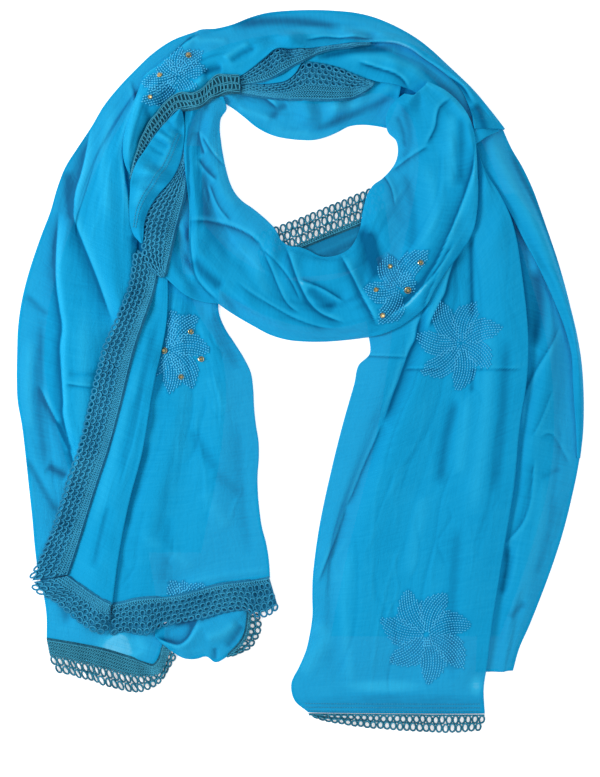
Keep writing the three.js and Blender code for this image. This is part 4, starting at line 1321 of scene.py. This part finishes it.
# %% [markdown]
# ## Stones
# Small glass stones with a gold foil back are glued on three of the flowers. A stone is a cut
# dome: a flat table, a ring of slanting facets and a girdle. Flat shading keeps each facet a
# mirror of its own, which is what makes them sparkle. Foil makes the glass act as a polished
# metal, so it is fully metallic, and the coat stands for the glass over it.

# %% Set the stones
foil, foil_tree, _, foil_dye = new_material("gold_foiled_glass_stone", {
    "Metallic": 1.0, "Roughness": 0.16, "Coat Weight": 0.6, "Coat Roughness": 0.05},
    [(0.0, "#8A6A30"), (1.0, "#E9CE93")])
foil_place = add_node(foil_tree, "ShaderNodeTexCoord").outputs["Object"]
WRINKLE = 1.43   # millimetres across a wrinkle of the foil
foil_noise = add_node(foil_tree, "ShaderNodeTexNoise", {"Scale": in_a_metre(WRINKLE)}, Vector=foil_place)
foil_tree.links.new(foil_noise.outputs[0], foil_dye.inputs[0])

# host sheet: the middle and the radius of each stone
STONES = {
    "collar_outer_band": [(-106, 308, 2.3), (-133, 288, 2.3), (-142, 267, 1.9)],
    "left_tail_front": [(-104, 45, 2.3), (-94, 19, 2.3), (-129, 27, 2.6), (-113, 2, 2.2)],
    "cowl": [(114, 110, 2.2), (85.5, 107, 2.2), (72, 84.5, 2.2), (78, 60, 2.2), (102, 84, 2.8)],
}
SIDES = 10
# rings of a stone, from its girdle up: width, height and turn, as shares of its radius and facet
CUT = ((1.15, -0.2, 0), (1.15, 0.25, 0), (0.95, 0.35, 0.5), (0.55, 0.95, 0))


def stone(x, y, z, normal, radius):
    """Points of one cut stone, ring by ring."""
    turn = np.arange(SIDES) * 2 * math.pi / SIDES
    rings = []
    for size, height, twist in CUT:
        angle = turn + twist * math.pi / SIDES
        flat = np.stack([np.cos(angle) * size, np.sin(angle) * size, np.full(SIDES, height)], axis=1)
        rings.append(flat * radius)
    tilt = np.array(Vector(normal).to_track_quat("Z", "Y").to_matrix())
    return np.concatenate(rings) @ tilt.T + np.array([x, y, z])


def stone_faces(first):
    """Back, facets and table of a stone whose points are numbered from first."""
    faces = [[first + k for k in range(SIDES)][::-1]]
    for ring in range(len(CUT) - 1):
        low = first + ring * SIDES
        for k in range(SIDES):
            a, b = low + k, low + (k + 1) % SIDES
            faces.append([a, b, b + SIDES, a + SIDES])
    return faces + [[first + (len(CUT) - 1) * SIDES + k for k in range(SIDES)]]


stones = {}
for host, places in STONES.items():
    tree = surface_of(host)
    points, faces = [], []
    for x, y, radius in places:
        spot = np.array([(x, y)]) + BOARD_SHIFT
        heights, normals = pressed_on(tree, spot)
        faces += stone_faces(len(points) * len(CUT) * SIDES)
        points.append(stone(spot[0, 0], spot[0, 1], heights[0] + 0.9, normals[0], radius))
    stones[host] = new_object(host + "_stones", np.concatenate(points), faces, foil)
    stones[host].data.polygons.foreach_set("use_smooth", [False] * len(faces))
print("stones set:", sum(len(places) for places in STONES.values()))

# %% [markdown]
# ## Hiding the walls
# Each sheet and each lace stands for its packed wall, which is then hidden. Everything rides on
# the stole's one body. For each stretch, the lace, flowers and stones sewn or glued to it are
# gathered, with the number of its layers.

# %% Hide the walls and ride
SEWN_TO = {
    "neck_back_lace": "neck_back_panel", "left_under_lace": "outer_left_fall",
    "twisted_flap_lace": "twisted_flap", "left_front_end_lace": "left_tail_front",
    "left_side_lace": "left_tail_edge_strip", "left_strip_end_lace": "left_tail_edge_strip",
    "right_tail_end_lace": "right_tail_front", "nape_lower_lace": "back_neck_inner_band",
    "nape_upper_lace": "nape_wedge", "cowl_under_lace": "cowl_under_fold",
    "shoulder_edge_lace": "left_shoulder_leaf",
}
for name, piece in pieces.items():
    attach(piece, "root")
    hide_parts(name)
for name, piece in flowers.items():
    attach(piece, "root")
for piece in stones.values():
    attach(piece, "root")
for name in ORDER:
    if name in SEWN_TO:
        continue
    trim = [pieces[lace] for lace, cloth in SEWN_TO.items() if cloth == name]
    trim += [flowers[work] for work, host in HOST.items() if host == name]
    trim += [stones[name]] if name in stones else []
    layers = len(BUNDLE_LAYERS) if name in BUNDLES else 1

# %% [markdown]
# ## Floor
# The stole lies on a white light table. A plain white plane would do, but a table that glows a
# little keeps the holes of the free lace white and the shadows thin.

# %% Floor
TABLE = 4.0   # half the table's side, in metres
floor_mesh = bpy.data.meshes.new("floor")
corners = [(x * TABLE, y * TABLE, 0) for x, y in ((-1, -1), (1, -1), (1, 1), (-1, 1))]
floor_mesh.from_pydata(corners, [], [(0, 1, 2, 3)])
floor = bpy.data.objects.new("floor", floor_mesh)
bpy.context.scene.collection.objects.link(floor)
paper, paper_tree, _, paper_dye = new_material("white_light_table", {
    "Roughness": 0.9, "Emission Color": (1, 1, 1, 1), "Emission Strength": 0.45},
    [(0.0, "#FBFBFB"), (1.0, "#FFFFFF")])
paper_place = add_node(paper_tree, "ShaderNodeTexCoord").outputs["Object"]
paper_noise = add_node(paper_tree, "ShaderNodeTexNoise", {"Scale": in_a_metre(333)}, Vector=paper_place)
paper_tree.links.new(paper_noise.outputs[0], paper_dye.inputs[0])
floor.data.materials.append(paper)
print("table, m:", 2 * TABLE, "square")

# %% [markdown]
# ## Light
# Light from straight above would flatten the cloth. One large soft light high on the left draws
# the folds, a weaker one on the right softens its shadows, and an even white sky fills the rest.

# %% Light
sky = bpy.data.worlds.new("even_sky")
bpy.context.scene.world = sky
sky.use_nodes = True
background = sky.node_tree.nodes["Background"]
background.inputs["Color"].default_value = (1, 1, 1, 1)
background.inputs["Strength"].default_value = 0.62


def soft_light(name, spot, size, watts):
    """A square light that faces the middle of the stole."""
    light = bpy.data.lights.new(name, "AREA")
    light.shape = "SQUARE"
    light.size = size
    light.energy = watts
    lamp = bpy.data.objects.new(name, light)
    lamp.location = spot
    lamp.rotation_euler = (-Vector(spot)).to_track_quat("-Z", "Y").to_euler()
    bpy.context.scene.collection.objects.link(lamp)
    print(name, "watts:", watts)


soft_light("window_left", (-1.5, 0.15, 1.15), 0.7, 25)
soft_light("softbox_right", (1.4, -0.4, 1.6), 1.2, 8)

# %% [markdown]
# ## Camera
# The camera looks straight down with a long lens, so the stole is seen as it was laid out and
# perspective doesn't stretch its edges. A lens's length over its sensor's gives how far away it
# must be to take in a given height.

# %% Camera
VIEW_HEIGHT = 0.738         # metres that the picture's long side covers
TOWARD_TAILS = 0.0165       # metres from the frame's zero to the picture's middle
HALF_THICK = 0.01           # metres above the table where the cloth is in true size
LENS, SENSOR = 85.0, 36.0   # millimetres
camera_data = bpy.data.cameras.new("camera")
camera_data.lens = LENS
camera_data.sensor_width = SENSOR
camera = bpy.data.objects.new("camera", camera_data)
camera.location = (0.0, -TOWARD_TAILS, VIEW_HEIGHT * LENS / SENSOR + HALF_THICK)
bpy.context.scene.collection.objects.link(camera)
bpy.context.scene.camera = camera
bpy.context.scene.view_settings.view_transform = "Standard"
print("camera height, m:", round(camera.location.z, 3))

# %% [markdown]
# ## Counting the triangles
# The triangles of everything that was made on the walls are counted and printed.

# %% Count the triangles
print("triangles in all:", triangles_in([*pieces.values(), *flowers.values(), *stones.values()]))
